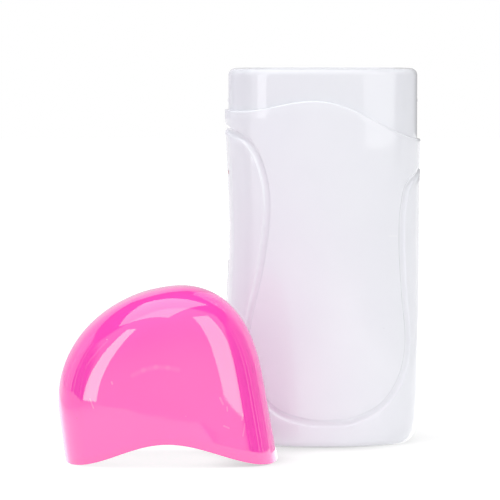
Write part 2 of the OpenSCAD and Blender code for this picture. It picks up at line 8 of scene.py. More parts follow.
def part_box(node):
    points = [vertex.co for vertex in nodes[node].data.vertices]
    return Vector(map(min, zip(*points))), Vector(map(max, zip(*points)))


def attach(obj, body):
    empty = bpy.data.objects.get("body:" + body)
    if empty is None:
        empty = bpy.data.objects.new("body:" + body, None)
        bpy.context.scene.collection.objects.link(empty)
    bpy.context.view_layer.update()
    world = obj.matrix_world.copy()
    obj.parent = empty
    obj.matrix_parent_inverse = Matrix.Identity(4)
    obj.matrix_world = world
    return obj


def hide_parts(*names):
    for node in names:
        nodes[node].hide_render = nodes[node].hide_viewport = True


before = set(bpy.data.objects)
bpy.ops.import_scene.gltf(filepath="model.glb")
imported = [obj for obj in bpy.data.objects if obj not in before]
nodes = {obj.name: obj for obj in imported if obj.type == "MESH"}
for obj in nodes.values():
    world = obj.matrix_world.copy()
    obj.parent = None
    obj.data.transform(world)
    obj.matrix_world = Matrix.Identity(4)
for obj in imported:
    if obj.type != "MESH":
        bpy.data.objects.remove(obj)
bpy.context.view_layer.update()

shellLow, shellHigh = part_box("front_shell")
halfWidth = (shellHigh.x - shellLow.x) / 2
halfDepth = (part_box("rear_shell")[1].y - shellLow.y) / 2
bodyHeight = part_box("chamber_collar")[1].z
mm = 0.001
tiny = 0.01 * mm  # how near a point lies to a plane to be on it

# The upright section that shells, collar and cap share: crowned faces, crowned sides, round corners.
section = {"faceRadius": 0.060, "sideRadius": 0.035, "cornerRadius": 0.014,
           "sideSteps": 8, "cornerSteps": 26, "faceSteps": 22}

# The ledge waves across the front and falls to the right, and the sides have a shallow waist.
ledge = {"height": bodyHeight - 0.020, "slope": math.tan(math.radians(8.6)), "rise": 0.0084}
sides = {"waistLeft": 0.0014, "waistRight": 0.0003, "waistAt": 0.076, "waistLength": 0.090,
         "tuck": 0.0014, "tuckHeight": 0.022, "footDraw": 0.0022, "footHeight": 0.0085}


def clearSelection():
    if bpy.context.mode != "OBJECT":
        bpy.ops.object.mode_set(mode="OBJECT")
    bpy.ops.object.select_all(action="DESELECT")


def workOn(piece):
    clearSelection()
    piece.select_set(True)
    bpy.context.view_layer.objects.active = piece


def editAll(piece):
    workOn(piece)
    bpy.ops.object.mode_set(mode="EDIT")
    bpy.ops.mesh.select_mode(type="VERT")
    bpy.ops.mesh.select_all(action="SELECT")


def named(name):
    piece = bpy.context.object
    piece.name = name
    piece.data.name = name
    bpy.ops.object.transform_apply(location=True, rotation=True, scale=True)
    return piece


def copyOf(piece, name):
    twin = piece.copy()
    twin.data = piece.data.copy()
    twin.name = name
    twin.data.name = name
    bpy.context.collection.objects.link(twin)
    return twin


def applied(piece, kind, **settings):
    workOn(piece)
    modifier = piece.modifiers.new(kind.lower(), kind)
    for key, value in settings.items():
        setattr(modifier, key, value)
    bpy.ops.object.modifier_apply(modifier=modifier.name)
    return piece


def combine(piece, tool, operation="DIFFERENCE"):
    applied(piece, "BOOLEAN", object=tool, operation=operation, solver="EXACT")
    bpy.data.objects.remove(tool)
    return piece


# Enters edit mode with the edges or faces that pass the test selected.
def selectParts(piece, kind, test):
    editAll(piece)
    bpy.ops.mesh.select_all(action="DESELECT")
    bpy.ops.mesh.select_mode(type=kind)
    mesh = bmesh.from_edit_mesh(piece.data)
    for part in mesh.edges if kind == "EDGE" else mesh.faces:
        part.select_set(test(part))
    bmesh.update_edit_mesh(piece.data)


def bevelSelected(offset, steps):
    bpy.ops.mesh.bevel(offset=offset, segments=steps, profile=0.5, affect="EDGES")


# Bevels the edges whose two ends pass the test.
def bevelWhere(piece, test, offset, steps):
    selectParts(piece, "EDGE", lambda edge: test(edge.verts[0]) and test(edge.verts[1]))
    bevelSelected(offset, steps)


def extrudeUp(height):
    bpy.ops.mesh.extrude_region_move(TRANSFORM_OT_translate={"value": (0, 0, height)})


def joined(pieces):
    workOn(pieces[0])
    for piece in pieces:
        piece.select_set(True)
    bpy.ops.object.join()
    return pieces[0]


def smoothShade(piece, degrees=30):
    workOn(piece)
    bpy.ops.object.shade_smooth_by_angle(angle=math.radians(degrees))


# A cylinder from one point to another.
def cylinder(name, radius, start, end, vertices=48):
    start, end = Vector(start), Vector(end)
    turn = (end - start).to_track_quat("Z", "Y").to_euler()
    clearSelection()
    bpy.ops.mesh.primitive_cylinder_add(vertices=vertices, radius=radius, depth=(end - start).length,
                                        location=(start + end) / 2, rotation=turn)
    return named(name)


def block(name, low, high):
    low, high = Vector(low), Vector(high)
    clearSelection()
    bpy.ops.mesh.primitive_cube_add(size=1, location=(low + high) / 2, scale=high - low)
    return named(name)


# Centres, turns and lengths of the section's arcs, worked out so that they meet in line.
sideCentre = Vector((halfWidth - section["sideRadius"], 0))
faceCentre = Vector((0, halfDepth - section["faceRadius"]))
fromFace = section["faceRadius"] - section["cornerRadius"]
fromSide = section["sideRadius"] - section["cornerRadius"]
apart = (sideCentre - faceCentre).length
alongLine = (fromFace ** 2 - fromSide ** 2 + apart ** 2) / (2 * apart)
offLine = math.sqrt(fromFace ** 2 - alongLine ** 2)
lineWay = (sideCentre - faceCentre) / apart
cornerCentre = faceCentre + alongLine * lineWay + offLine * Vector((lineWay.y, -lineWay.x))
sideTurn = math.atan2(cornerCentre.y, cornerCentre.x - sideCentre.x)
faceTurn = math.atan2(cornerCentre.y - faceCentre.y, cornerCentre.x)
faceLength = section["faceRadius"] * (math.pi / 2 - faceTurn)
cornerLength = section["cornerRadius"] * (faceTurn - sideTurn)
sideLength = section["sideRadius"] * sideTurn
sideMiddle = faceLength + cornerLength + sideLength


def sectionLoop(name, inset, height):
    clearSelection()
    bpy.ops.mesh.primitive_plane_add(size=mm, location=(halfWidth - inset, 0, height))
    piece = named(name)
    editAll(piece)
    bpy.ops.mesh.merge(type="CENTER")
    for centre, steps, turn in ((sideCentre, section["sideSteps"], sideTurn),
                                (cornerCentre, section["cornerSteps"], faceTurn - sideTurn),
                                (faceCentre, section["faceSteps"], math.pi / 2 - faceTurn)):
        bpy.ops.mesh.spin(steps=steps, angle=-turn, center=(centre.x, centre.y, height), axis=(0, 0, 1))
    return applied(piece, "MIRROR", use_axis=(True, True, False), merge_threshold=tiny)


# A straight length of the section, closed at both ends.
def prism(name, inset, low, high):
    piece = sectionLoop(name, inset, low)
    editAll(piece)
    bpy.ops.mesh.edge_face_add()
    extrudeUp(high - low)
    outwards(piece)
    return piece


def outwards(piece):
    editAll(piece)
    bpy.ops.mesh.remove_doubles(threshold=0.001 * mm)
    bpy.ops.mesh.normals_make_consistent(inside=False)
    clearSelection()


def ledgeHeight(x):
    share = min(1, abs(x) / halfWidth)
    return ledge["height"] - ledge["slope"] * x + ledge["rise"] * (1 + math.cos(math.pi * share)) / 2


def waist(z):
    share = abs(z - sides["waistAt"]) / (sides["waistLength"] / 2)
    return math.cos(math.pi / 2 * share) ** 2 if share < 1 else 0


# How far a point moves towards the middle, for the waist and the draw-in at the foot.
def drawnIn(x, z):
    dip = sides["waistLeft"] if x < 0 else sides["waistRight"]
    return dip * waist(z) + sides["tuck"] * max(0, 1 - z / sides["tuckHeight"])


def drawIn(piece, foot=False):
    for vertex in piece.data.vertices:
        x, z = vertex.co.x, vertex.co.z
        inwards = drawnIn(x, z)
        if foot:
            inwards += sides["footDraw"] * max(0, 1 - z / sides["footHeight"]) ** 2
        vertex.co.x = x * (1 - inwards / halfWidth)
    piece.data.update()


# Moves the selected ring on its way from a level height to the ledge.
def followLedge(piece, low, share):
    mesh = bmesh.from_edit_mesh(piece.data)
    for vertex in mesh.verts:
        if vertex.select:
            vertex.co.z = low + (ledgeHeight(vertex.co.x) - low) * share
    bmesh.update_edit_mesh(piece.data)


def onLedge(piece):
    return {vertex.index for vertex in piece.data.vertices
            if abs(vertex.co.z - ledgeHeight(vertex.co.x)) < 0.1 * mm}


# Solidify adds the inner wall's points after the outer ones, in the same order.
def levelInnerRim(piece, rim, outerCount):
    for index in rim:
        inner = piece.data.vertices[index + outerCount]
        inner.co.z = ledgeHeight(inner.co.x)
    piece.data.update()


# The two shells start as one skin.
shell = {"wall": 0.0022, "footRadius": 0.0022, "footSteps": 6, "ringStep": 0.004, "straightTo": 0.104,
         "ledgeRings": 5, "ledgeEdge": 0.00055, "ledgeEdgeSteps": 3, "floorInset": 0.008,
         "floorCut": (-0.002, 0.006), "seamGap": 0.00006, "seamEdge": 0.00014, "seamFrom": 0.003}


def makeBodySkin():
    skin = sectionLoop("bodySkin", 0, 0)
    editAll(skin)
    bpy.ops.mesh.edge_face_add()
    for ring in range(round(shell["straightTo"] / shell["ringStep"])):
        extrudeUp(shell["ringStep"])
    for ring in range(shell["ledgeRings"]):
        extrudeUp(mm)
        followLedge(skin, shell["straightTo"], (ring + 1) / shell["ledgeRings"])
    bpy.ops.mesh.delete(type="ONLY_FACE")
    bevelWhere(skin, lambda vertex: vertex.co.z < tiny, shell["footRadius"], shell["footSteps"])
    editAll(skin)
    bpy.ops.mesh.normals_make_consistent(inside=False)
    clearSelection()
    drawIn(skin, foot=True)
    outerCount = len(skin.data.vertices)
    rim = onLedge(skin)
    applied(skin, "SOLIDIFY", thickness=shell["wall"], offset=-1, use_even_offset=True)
    levelInnerRim(skin, rim, outerCount)
    bevelWhere(skin, lambda vertex: vertex.index in rim, shell["ledgeEdge"], shell["ledgeEdgeSteps"])
    smoothShade(skin)
    return skin


# The groove runs from side to side round the panel. In mm, its half profile is (off its line, depth) and its
# points are (in from the side, up from the ledge or the table).
groove = {"half": [(2.0, -0.14), (1.5, 0.02), (1.32, 0.12), (1.17, 0.28), (1.0, 0.48), (0.78, 0.66),
                   (0.42, 0.78)],
          "leftHigh": [(4.8, -4), (10.1, -10.3), (13.1, -20.5), (13.4, -32)],
          "leftLow": [(11.2, 63.7), (7.9, 46), (6.8, 33), (10.2, 20.5), (17.7, 12.4), (28, 9.1)],
          "rightLow": [(33, 8.6), (23.7, 9.9), (13.9, 15.2), (7.6, 25.5), (5.6, 38), (6.8, 54)],
          "rightHigh": [(7.7, -42), (7.1, -28), (4.2, -19.8)],
          "leftEnd": -1.1, "rightEnd": -14.8, "pastSide": 4, "steps": 9, "outside": 0.9}


# Distance round the section from the middle of the front to the point at x.
def alongSection(x):
    reach, way = abs(x), math.copysign(1, x)
    faceReach = section["faceRadius"] * math.cos(faceTurn)
    if reach <= faceReach:
        return way * section["faceRadius"] * math.asin(reach / section["faceRadius"])
    cornerReach = cornerCentre.x + section["cornerRadius"] * math.cos(sideTurn)
    if reach <= cornerReach:
        turn = math.acos((reach - cornerCentre.x) / section["cornerRadius"])
        return way * (faceLength + section["cornerRadius"] * (faceTurn - turn))
    turn = math.acos(min(1, (reach - sideCentre.x) / section["sideRadius"]))
    return way * (faceLength + cornerLength + section["sideRadius"] * (sideTurn - turn))


# Point and outward direction at a distance round the section from the middle of the front.
def onSection(distance):
    way = math.copysign(1, distance)
    reach = abs(distance)
    if reach <= faceLength:
        centre, radius = faceCentre, section["faceRadius"]
        turn = math.pi / 2 - reach / radius
    elif reach <= faceLength + cornerLength:
        centre, radius = cornerCentre, section["cornerRadius"]
        turn = faceTurn - (reach - faceLength) / radius
    else:
        centre, radius = sideCentre, section["sideRadius"]
        turn = sideTurn - (reach - faceLength - cornerLength) / radius
    out = Vector((way * math.cos(turn), -math.sin(turn), 0))
    return Vector((way * centre.x, -centre.y, 0)) + radius * out, out


# A smooth line through given points.
def smoothLine(points, steps):
    line = []
    for index in range(len(points) - 1):
        a, b, c, d = (points[min(max(index + step, 0), len(points) - 1)] for step in (-1, 0, 1, 2))
        for step in range(steps):
            t = step / steps
            line.append(0.5 * (2 * b + (c - a) * t + (2 * a - 5 * b + 4 * c - d) * t ** 2
                               + (3 * b - a - 3 * c + d) * t ** 3))
    return line + [points[-1]]


def grooveLine():
    halfMm = halfWidth / mm
    ledgeMm = ledge["height"] / mm

    def flat(points, way, above):
        return [Vector((alongSection(way * (halfMm - x) * mm), (above + z) * mm)) for x, z in points]

    def onSide(way, past, end):
        return [Vector((way * (sideMiddle + past * mm), (ledgeMm + end) * mm))]

    points = (onSide(-1, groove["pastSide"], groove["leftEnd"]) + onSide(-1, 0, groove["leftEnd"])
              + flat(groove["leftHigh"], -1, ledgeMm) + flat(groove["leftLow"], -1, 0)
              + flat(groove["rightLow"], 1, 0) + flat(groove["rightHigh"], 1, ledgeMm)
              + onSide(1, 0, groove["rightEnd"]) + onSide(1, groove["pastSide"], groove["rightEnd"]))
    return smoothLine(points, groove["steps"])


# A grid rolled into a closed tube: the groove's profile below, a lid well outside the wall above.
def makeGrooveCutter(name, back):
    line = grooveLine()
    half, wide, lid = groove["half"], groove["half"][0][0], -groove["outside"]
    profile = (half + [(-offset, depth) for offset, depth in reversed(half)]
               + [(-wide, lid), (0, lid), (wide, lid), half[0]])
    clearSelection()
    bpy.ops.mesh.primitive_grid_add(x_subdivisions=len(line) - 1, y_subdivisions=len(profile) - 1, size=2)
    cutter = named(name)
    for vertex in cutter.data.vertices:
        place = round((vertex.co.x + 1) / 2 * (len(line) - 1))
        offset, depth = profile[round((vertex.co.y + 1) / 2 * (len(profile) - 1))]
        before, after = line[max(place - 1, 0)], line[min(place + 1, len(line) - 1)]
        heading = (after - before).normalized()
        spot = line[place] + offset * mm * Vector((heading.y, -heading.x))
        point, out = onSection(spot.x)
        point = point - depth * mm * out
        vertex.co = (point.x, -point.y if back else point.y, spot.y)
    outwards(cutter)
    editAll(cutter)
    bpy.ops.mesh.fill_holes(sides=0)
    outwards(cutter)
    drawIn(cutter)
    return cutter


# One shell, with a fine chamfer on the seam's outer edge, up both sides.
def keepHalf(piece, name, back):
    def onSeam(edge):
        middle = (edge.verts[0].co + edge.verts[1].co) / 2
        if abs(abs(middle.y) - shell["seamGap"]) > tiny or middle.z < shell["seamFrom"]:
            return False
        return [face.normal.x * middle.x > 0.5 * abs(middle.x) for face in edge.link_faces].count(True) == 1

    half = copyOf(piece, name)
    editAll(half)
    bpy.ops.mesh.bisect(plane_co=(0, shell["seamGap"] if back else -shell["seamGap"], 0),
                        plane_no=(0, -1 if back else 1, 0), clear_outer=True, use_fill=True,
                        threshold=0.1 * tiny)
    bpy.ops.mesh.normals_make_consistent(inside=False)
    selectParts(half, "EDGE", onSeam)
    bevelSelected(shell["seamEdge"], 1)
    clearSelection()
    return half


# Openings in the left side: the level window's slot and the hole for the lamp's lens.
leftOpenings = {"outside": -0.045, "slotHalf": 0.00265, "slotLow": 0.02685, "slotHigh": 0.06515,
                "slotTo": -0.0186, "lensAt": (-0.0054, 0.097), "lensHole": 0.00092, "lensTo": -0.02}

# Screws from the back as (x, z, depth of the head's seat), with the bosses and holes for them.
shellScrews = {"places": [(0.024, 0.013, 0.009), (0.0302, 0.084, 0.006)], "sides": 40, "recess": 0.0020,
               "outside": 0.03, "boss": 0.0027, "bossEnd": 0.028, "bossRoom": (0.004, 0.100),
               "hole": 0.0010, "holeEnd": 0.012, "pastSeam": 0.001, "tip": -0.008}

# The inlet's opening in the back, as wide as two round ends set apart.
inlet = {"reach": 0.0043, "radius": 0.00615, "height": 0.012, "middle": 0.021, "depth": 0.018}


def inletCutter():
    clearSelection()
    bpy.ops.mesh.primitive_cylinder_add(vertices=64, radius=inlet["radius"], rotation=(math.pi / 2, 0, 0),
                                        location=(0, inlet["middle"], inlet["height"]), depth=inlet["depth"])
    piece = named("inletHole")
    for vertex in piece.data.vertices:
        vertex.co.x += math.copysign(inlet["reach"], vertex.co.x)
    return piece


# One cylinder along y at each screw, from a depth or from the head's seat.
def screwTools(name, radius, start, end):
    return joined([cylinder(name, radius, (way * x, seat if start is None else start, z),
                            (way * x, end, z), shellScrews["sides"])
                   for x, z, seat in shellScrews["places"] for way in (-1, 1)])


# Posts inside a shell that its four screws go through or bite into.
def addBosses(piece, back):
    seam, far = shell["seamGap"], shellScrews["bossEnd"]
    bosses = screwTools("bosses", shellScrews["boss"], *((seam, far) if back else (-far, -seam)))
    limit = prism("bossLimit", shell["wall"] / 2, *shellScrews["bossRoom"])
    drawIn(limit)
    combine(bosses, limit, "INTERSECT")
    combine(piece, bosses, "UNION")
    past, tip, end = shellScrews["pastSeam"], shellScrews["tip"], shellScrews["holeEnd"]
    combine(piece, screwTools("screwHoles", shellScrews["hole"], *((-past, end) if back else (tip, past))))
    if back:
        combine(piece, screwTools("screwRecesses", shellScrews["recess"], None, shellScrews["outside"]))


def makeShells():
    skin = makeBodySkin()
    floorCutter = prism("floorCutter", shell["floorInset"], *shell["floorCut"])
    drawIn(floorCutter)
    combine(skin, floorCutter)
    halves = []
    for name, back in (("shellFront", False), ("shellRear", True)):
        half = keepHalf(skin, name, back)
        addBosses(half, back)
        combine(half, makeGrooveCutter("grooveCutter", back))
        combine(half, block("slotCutter",
                            (leftOpenings["outside"], -leftOpenings["slotHalf"], leftOpenings["slotLow"]),
                            (leftOpenings["slotTo"], leftOpenings["slotHalf"], leftOpenings["slotHigh"])))
        if back:
            combine(half, inletCutter())
        else:
            combine(half, cylinder("lensHole", leftOpenings["lensHole"],
                                   (leftOpenings["outside"], *leftOpenings["lensAt"]),
                                   (leftOpenings["lensTo"], *leftOpenings["lensAt"])))
        smoothShade(half)
        halves.append(half)
    bpy.data.objects.remove(skin)
    return halves


# The white neck that stands in the shells and holds the cap.
collar = {"inset": 0.0013, "foot": 0.1, "aboveLedge": 0.00002, "rimRadius": 0.0025, "rimSteps": 6,
          "skirtInset": 0.0023, "skirt": (0.1037, 0.128), "hollowInset": 0.0041, "hollow": (0.09, 0.1318),
          "throatHalf": (0.0265, 0.017), "throatRadius": 0.013, "throatSteps": 10, "throatWall": 0.0015,
          "throatLow": 0.1095, "throatOverlap": 0.0005, "bore": (0.08, 0.14), "mouthReach": 0.0002,
          "mouthEdge": 0.0006, "mouthSteps": 3, "snapRadius": 0.0016, "snapOut": 0.00025,
          "snapHeight": 0.1224}


# A block as large as the throat's bore and a wall round it.
def throatBlock(name, wall, low, high):
    halfX, halfY = (half + wall for half in collar["throatHalf"])
    piece = block(name, (-halfX, -halfY, low), (halfX, halfY, high))
    selectParts(piece, "EDGE", lambda edge: abs(edge.verts[0].co.z - edge.verts[1].co.z) > tiny)
    bevelSelected(collar["throatRadius"] + wall, collar["throatSteps"])
    outwards(piece)
    return piece


def makeCollar():
    neck = prism("collarPiece", collar["inset"], collar["foot"], bodyHeight)
    bevelWhere(neck, lambda vertex: vertex.co.z > bodyHeight - tiny, collar["rimRadius"], collar["rimSteps"])
    clearSelection()
    for vertex in neck.data.vertices:
        if vertex.co.z < collar["foot"] + tiny:
            vertex.co.z = ledgeHeight(vertex.co.x) + collar["aboveLedge"]
    combine(neck, prism("skirt", collar["skirtInset"], *collar["skirt"]), "UNION")
    for way in (-1, 1):
        clearSelection()
        x = way * (halfWidth - collar["inset"] + collar["snapOut"] - collar["snapRadius"])
        bpy.ops.mesh.primitive_uv_sphere_add(segments=24, ring_count=16, radius=collar["snapRadius"],
                                             location=(x, 0, collar["snapHeight"]))
        combine(neck, named("snap"), "UNION")
    combine(neck, prism("neckHollow", collar["hollowInset"], *collar["hollow"]))
    throatHigh = collar["hollow"][1] + collar["throatOverlap"]
    combine(neck, throatBlock("throat", collar["throatWall"], collar["throatLow"], throatHigh), "UNION")
    combine(neck, throatBlock("bore", 0, *collar["bore"]))
    mouthX, mouthY = (half + collar["mouthReach"] for half in collar["throatHalf"])

    def onMouth(vertex):
        x, y, z = vertex.co
        return z > bodyHeight - tiny and abs(x) < mouthX and abs(y) < mouthY

    bevelWhere(neck, onMouth, collar["mouthEdge"], collar["mouthSteps"])
    clearSelection()
    smoothShade(neck)
    return neck


# The pink cap, made upright over the neck and then set down beside the body.
cap = {"inset": -0.0006, "draft": math.tan(math.radians(1.4)), "high": 0.059, "spring": 0.022,
       "lean": 0.0066, "wall": 0.0015, "leftPower": 2.0, "rightPower": 2.4, "depthPower": 3.2,
       "skirtRings": 5, "domeRings": 34, "mouthEdge": 0.00045, "mouthSteps": 3,
       "mouthReach": 0.00035, "turn": -8.6, "place": (-0.055, -0.051, 0)}


def squash(share, power):
    return max(0, 1 - share ** power) ** (1 / power)


def flared(height, half):
    return 1 + (ledge["height"] + cap["spring"] - height) * cap["draft"] / half


# A straight tower of rings is extruded first, and then each ring is given its size, place and height.
def makeCap():
    springHeight = ledge["height"] + cap["spring"]
    halfX = halfWidth - cap["inset"]
    halfY = halfDepth - cap["inset"]

    def skirtRing(spot, share):
        low = ledgeHeight(spot.x * flared(ledgeHeight(spot.x), halfX))
        height = low + (springHeight - low) * share
        return spot.x * flared(height, halfX), spot.y * flared(height, halfY), height

    def domeRing(spot, turn):
        share = math.sin(turn)
        rise = (cap["high"] - cap["spring"]) * share
        join = rise * (1 - share) * cap["draft"]
        low = cap["lean"] - (halfX + cap["lean"] - join) * squash(share, cap["leftPower"])
        high = cap["lean"] + (halfX - cap["lean"] - join) * squash(share, cap["rightPower"])
        return ((low + high) / 2 + spot.x / halfX * (high - low) / 2,
                spot.y * (1 - join / halfY) * squash(share, cap["depthPower"]), springHeight + rise)

    piece = sectionLoop("capPiece", cap["inset"], 0)
    editAll(piece)
    for ring in range(cap["skirtRings"] + cap["domeRings"]):
        extrudeUp(mm)
    clearSelection()
    for vertex in piece.data.vertices:
        ring = round(vertex.co.z / mm)
        if ring <= cap["skirtRings"]:
            vertex.co = skirtRing(vertex.co, ring / cap["skirtRings"])
        else:
            vertex.co = domeRing(vertex.co, math.pi / 2 * (ring - cap["skirtRings"]) / cap["domeRings"])
    outwards(piece)
    rim = onLedge(piece)
    outerCount = len(piece.data.vertices)
    applied(piece, "SOLIDIFY", thickness=cap["wall"], offset=-1, use_even_offset=False,
            use_quality_normals=True)
    levelInnerRim(piece, rim, outerCount)
    bevelWhere(piece, lambda vertex: abs(vertex.co.z - ledgeHeight(vertex.co.x)) < cap["mouthReach"],
               cap["mouthEdge"], cap["mouthSteps"])
    workOn(piece)
    piece.location = (0, 0, -ledge["height"])
    bpy.ops.object.transform_apply(location=True)
    piece.rotation_euler = (0, math.radians(cap["turn"]), 0)
    piece.location = cap["place"]
    bpy.ops.object.transform_apply(location=True, rotation=True)
    smoothShade(piece)
    return piece


# A domed screw with a cross in its head, modelled once, standing on its head.
screw = {"head": 0.0019, "headHeight": 0.0016, "dome": 0.0009, "domeSteps": 6, "shank": 0.00095,
         "length": 0.010, "point": 0.0012, "pointShare": 0.25, "crossReach": 0.0010, "crossHalf": 0.00022,
         "crossDeep": 0.0008}


def makeScrew():
    piece = cylinder("screw", screw["head"], (0, 0, 0), (0, 0, screw["headHeight"]))
    bevelWhere(piece, lambda vertex: vertex.co.z < tiny, screw["dome"], screw["domeSteps"])
    selectParts(piece, "FACE", lambda face: face.normal.z > 0.99)
    bpy.ops.mesh.inset(thickness=screw["head"] - screw["shank"])
    extrudeUp(screw["length"] - screw["headHeight"] - screw["point"])
    extrudeUp(screw["point"])
    bpy.ops.transform.resize(value=(screw["pointShare"], screw["pointShare"], 1),
                             center_override=(0, 0, screw["length"]))
    clearSelection()
    reach, half = screw["crossReach"], screw["crossHalf"]
    for x, y in ((reach, half), (half, reach)):
        combine(piece, block("crossCutter", (-x, -y, -mm), (x, y, screw["crossDeep"])))
    smoothShade(piece)
    return piece


# Copies of the screw stretched to their lengths, as one piece: (place, turn about x, length).
def setScrews(name, pattern, places):
    pieces = []
    for at, turn, length in places:
        twin = copyOf(pattern, name)
        for vertex in twin.data.vertices:
            if vertex.co.z > screw["headHeight"] + 0.1 * mm:
                vertex.co.z += length - screw["length"]
        twin.location = at
        twin.rotation_euler = (turn, 0, 0)
        workOn(twin)
        bpy.ops.object.transform_apply(location=True, rotation=True, scale=True)
        pieces.append(twin)
    return joined(pieces)


def makeScrews():
    pattern = makeScrew()
    housing = []
    for x, z, seat in shellScrews["places"]:
        face = seat + screw["headHeight"]
        housing += [((way * x, face, z), math.pi / 2, face - shellScrews["tip"]) for way in (-1, 1)]
    low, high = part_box("base_screws")
    base = [((x, (low.y + high.y) / 2, low.z), 0, high.z - low.z)
            for x in (low.x + screw["head"], high.x - screw["head"])]
    made = setScrews("shellScrews", pattern, housing), setScrews("baseScrews", pattern, base)
    bpy.data.objects.remove(pattern)
    return made


# The little lamp lens, domed where it stands in the left side.
lens = {"radius": 0.00085, "tip": -0.03412, "inner": -0.0318, "dome": 0.0004, "domeSteps": 8}


def makeLens():
    piece = cylinder("lampLens", lens["radius"], (lens["tip"], *leftOpenings["lensAt"]),
                     (lens["inner"], *leftOpenings["lensAt"]))
    bevelWhere(piece, lambda vertex: vertex.co.x < lens["tip"] + tiny, lens["dome"], lens["domeSteps"])
    smoothShade(piece)
    return piece


shellFront, shellRear = makeShells()
print("shells", len(shellFront.data.vertices), len(shellRear.data.vertices))
housingScrews, baseScrews = makeScrews()
print("screws", len(housingScrews.data.vertices), len(baseScrews.data.vertices))
lampLens = makeLens()
print("lens", len(lampLens.data.vertices))
collarPiece = makeCollar()
print("collar", len(collarPiece.data.vertices))
capPiece = makeCap()
print("cap", len(capPiece.data.vertices))

# Each detailed piece, the body it rides on, the solid it stands for, that solid's slot, and its finish.
detailed = [(shellFront, "body", "front_shell", "shell_plastic", "shellWhite"),
            (shellRear, "body", "rear_shell", "shell_plastic", "shellWhite"),
            (collarPiece, "body", "chamber_collar", "collar_plastic", "shellWhite"),
            (capPiece, "cap", "cap", "cap_plastic", "capPink"),
            (lampLens, "body", "indicator_lens", "lens_plastic", "lensRed"),
            (housingScrews, "body", "housing_screws", "screw_steel", "screwZinc"),
            (baseScrews, "body", "base_screws", "screw_steel", "screwZinc")]
for piece, body, node, slot, _ in detailed:
    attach(piece, body)
    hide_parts(node)


# Small helpers for node trees: a value goes to a socket as a link or as a plain number.
def feed(tree, socket, value):
    if isinstance(value, bpy.types.NodeSocket):
        tree.links.new(value, socket)
    else:
        socket.default_value = value


def nodeOf(tree, kind, inputs=None, **settings):
    node = tree.nodes.new("ShaderNode" + kind)
    for key, value in settings.items():
        setattr(node, key, value)
    for label, value in (inputs or {}).items():
        feed(tree, node.inputs[label], value)
    return node.outputs


def calculate(tree, operation, *values):
    return nodeOf(tree, "Math", dict(enumerate(values)), operation=operation)["Value"]


def times(tree, first, *others):
    for other in others:
        first = calculate(tree, "MULTIPLY", first, other)
    return first


def vectorOf(tree, operation, *values):
    outputs = nodeOf(tree, "VectorMath", dict(enumerate(values)), operation=operation)
    return outputs["Value" if operation in ("LENGTH", "DOT_PRODUCT") else "Vector"]


def between(tree, source, low, high, toLow=0.0, toHigh=1.0):
    inputs = {"Value": source, "From Min": low, "From Max": high, "To Min": toLow, "To Max": toHigh}
    return nodeOf(tree, "MapRange", inputs, interpolation_type="SMOOTHSTEP")["Result"]


def noiseOf(tree, vector, scale, detail=2.0, roughness=0.5):
    inputs = {"Vector": vector, "Scale": scale, "Detail": detail, "Roughness": roughness}
    return nodeOf(tree, "TexNoise", inputs)["Fac"]


def mixed(tree, factor, first, second):
    first, second = ((*value, 1) if isinstance(value, tuple) else value for value in (first, second))
    return nodeOf(tree, "Mix", {0: factor, 6: first, 7: second}, data_type="RGBA")[2]


def newMaterial(name):
    material = bpy.data.materials.new(name)
    material.use_nodes = True
    return material, material.node_tree


# Shader node groups, built once and placed in every finish that shows the effect.
def newGroup(name, numbers, vectors, outputs):
    tree = bpy.data.node_groups.new(name, "ShaderNodeTree")
    for label in vectors:
        tree.interface.new_socket(name=label, in_out="INPUT", socket_type="NodeSocketVector")
    for label, value in numbers.items():
        socket = tree.interface.new_socket(name=label, in_out="INPUT", socket_type="NodeSocketFloat")
        socket.default_value = value
    for label in outputs:
        tree.interface.new_socket(name=label, in_out="OUTPUT", socket_type="NodeSocketFloat")
    start = tree.nodes.new("NodeGroupInput").outputs
    end = tree.nodes.new("NodeGroupOutput").inputs
    return tree, start, end


# Moulded plastic: a fine grain, a slow waviness like orange peel, and a tone that drifts over the surface.
def makeGrainGroup():
    tree, start, end = newGroup("mouldedGrain", {"Scale": 1500, "Fine": 0.02, "Slow": 0.3}, ["Vector"],
                                ["Height", "Tone"])
    fine = noiseOf(tree, start["Vector"], start["Scale"], 3)
    slow = noiseOf(tree, start["Vector"], times(tree, start["Scale"], 0.05), 1)
    drift = noiseOf(tree, start["Vector"], times(tree, start["Scale"], 0.03), 3)
    height = calculate(tree, "MULTIPLY_ADD", fine, start["Fine"], times(tree, slow, start["Slow"]))
    feed(tree, end["Height"], height)
    feed(tree, end["Tone"], between(tree, drift, 0.3, 0.7))
    return tree


# Loose patches: where a noise is over a level, which falls as the amount grows.
def patches(tree, start, share, level, fall, edge):
    noise = noiseOf(tree, start["Vector"], times(tree, start["Scale"], share), 2)
    level = calculate(tree, "SUBTRACT", level, times(tree, start["Amount"], fall))
    return between(tree, noise, calculate(tree, "SUBTRACT", level, edge), level)


# Hairline scratches: the level lines of two stretched noises, showing only in patches.
def makeScratchGroup():
    tree, start, end = newGroup("hairlines", {"Scale": 60, "Amount": 0.3}, ["Vector"], ["Mask"])
    masks = []
    for turn, stretch in (((0.4, 0.2, 0.5), (1, 7, 1)), ((-0.3, 0.7, 1.9), (6, 1, 1))):
        inputs = {"Vector": start["Vector"], "Rotation": turn, "Scale": stretch}
        ridge = noiseOf(tree, nodeOf(tree, "Mapping", inputs)["Vector"], start["Scale"], 1)
        offLevel = calculate(tree, "ABSOLUTE", calculate(tree, "SUBTRACT", ridge, 0.5))
        masks.append(between(tree, offLevel, 0.002, 0.008, 1, 0))
    lines = calculate(tree, "MAXIMUM", *masks)
    feed(tree, end["Mask"], times(tree, lines, patches(tree, start, 0.9, 0.9, 0.6, 0.06)))
    return tree


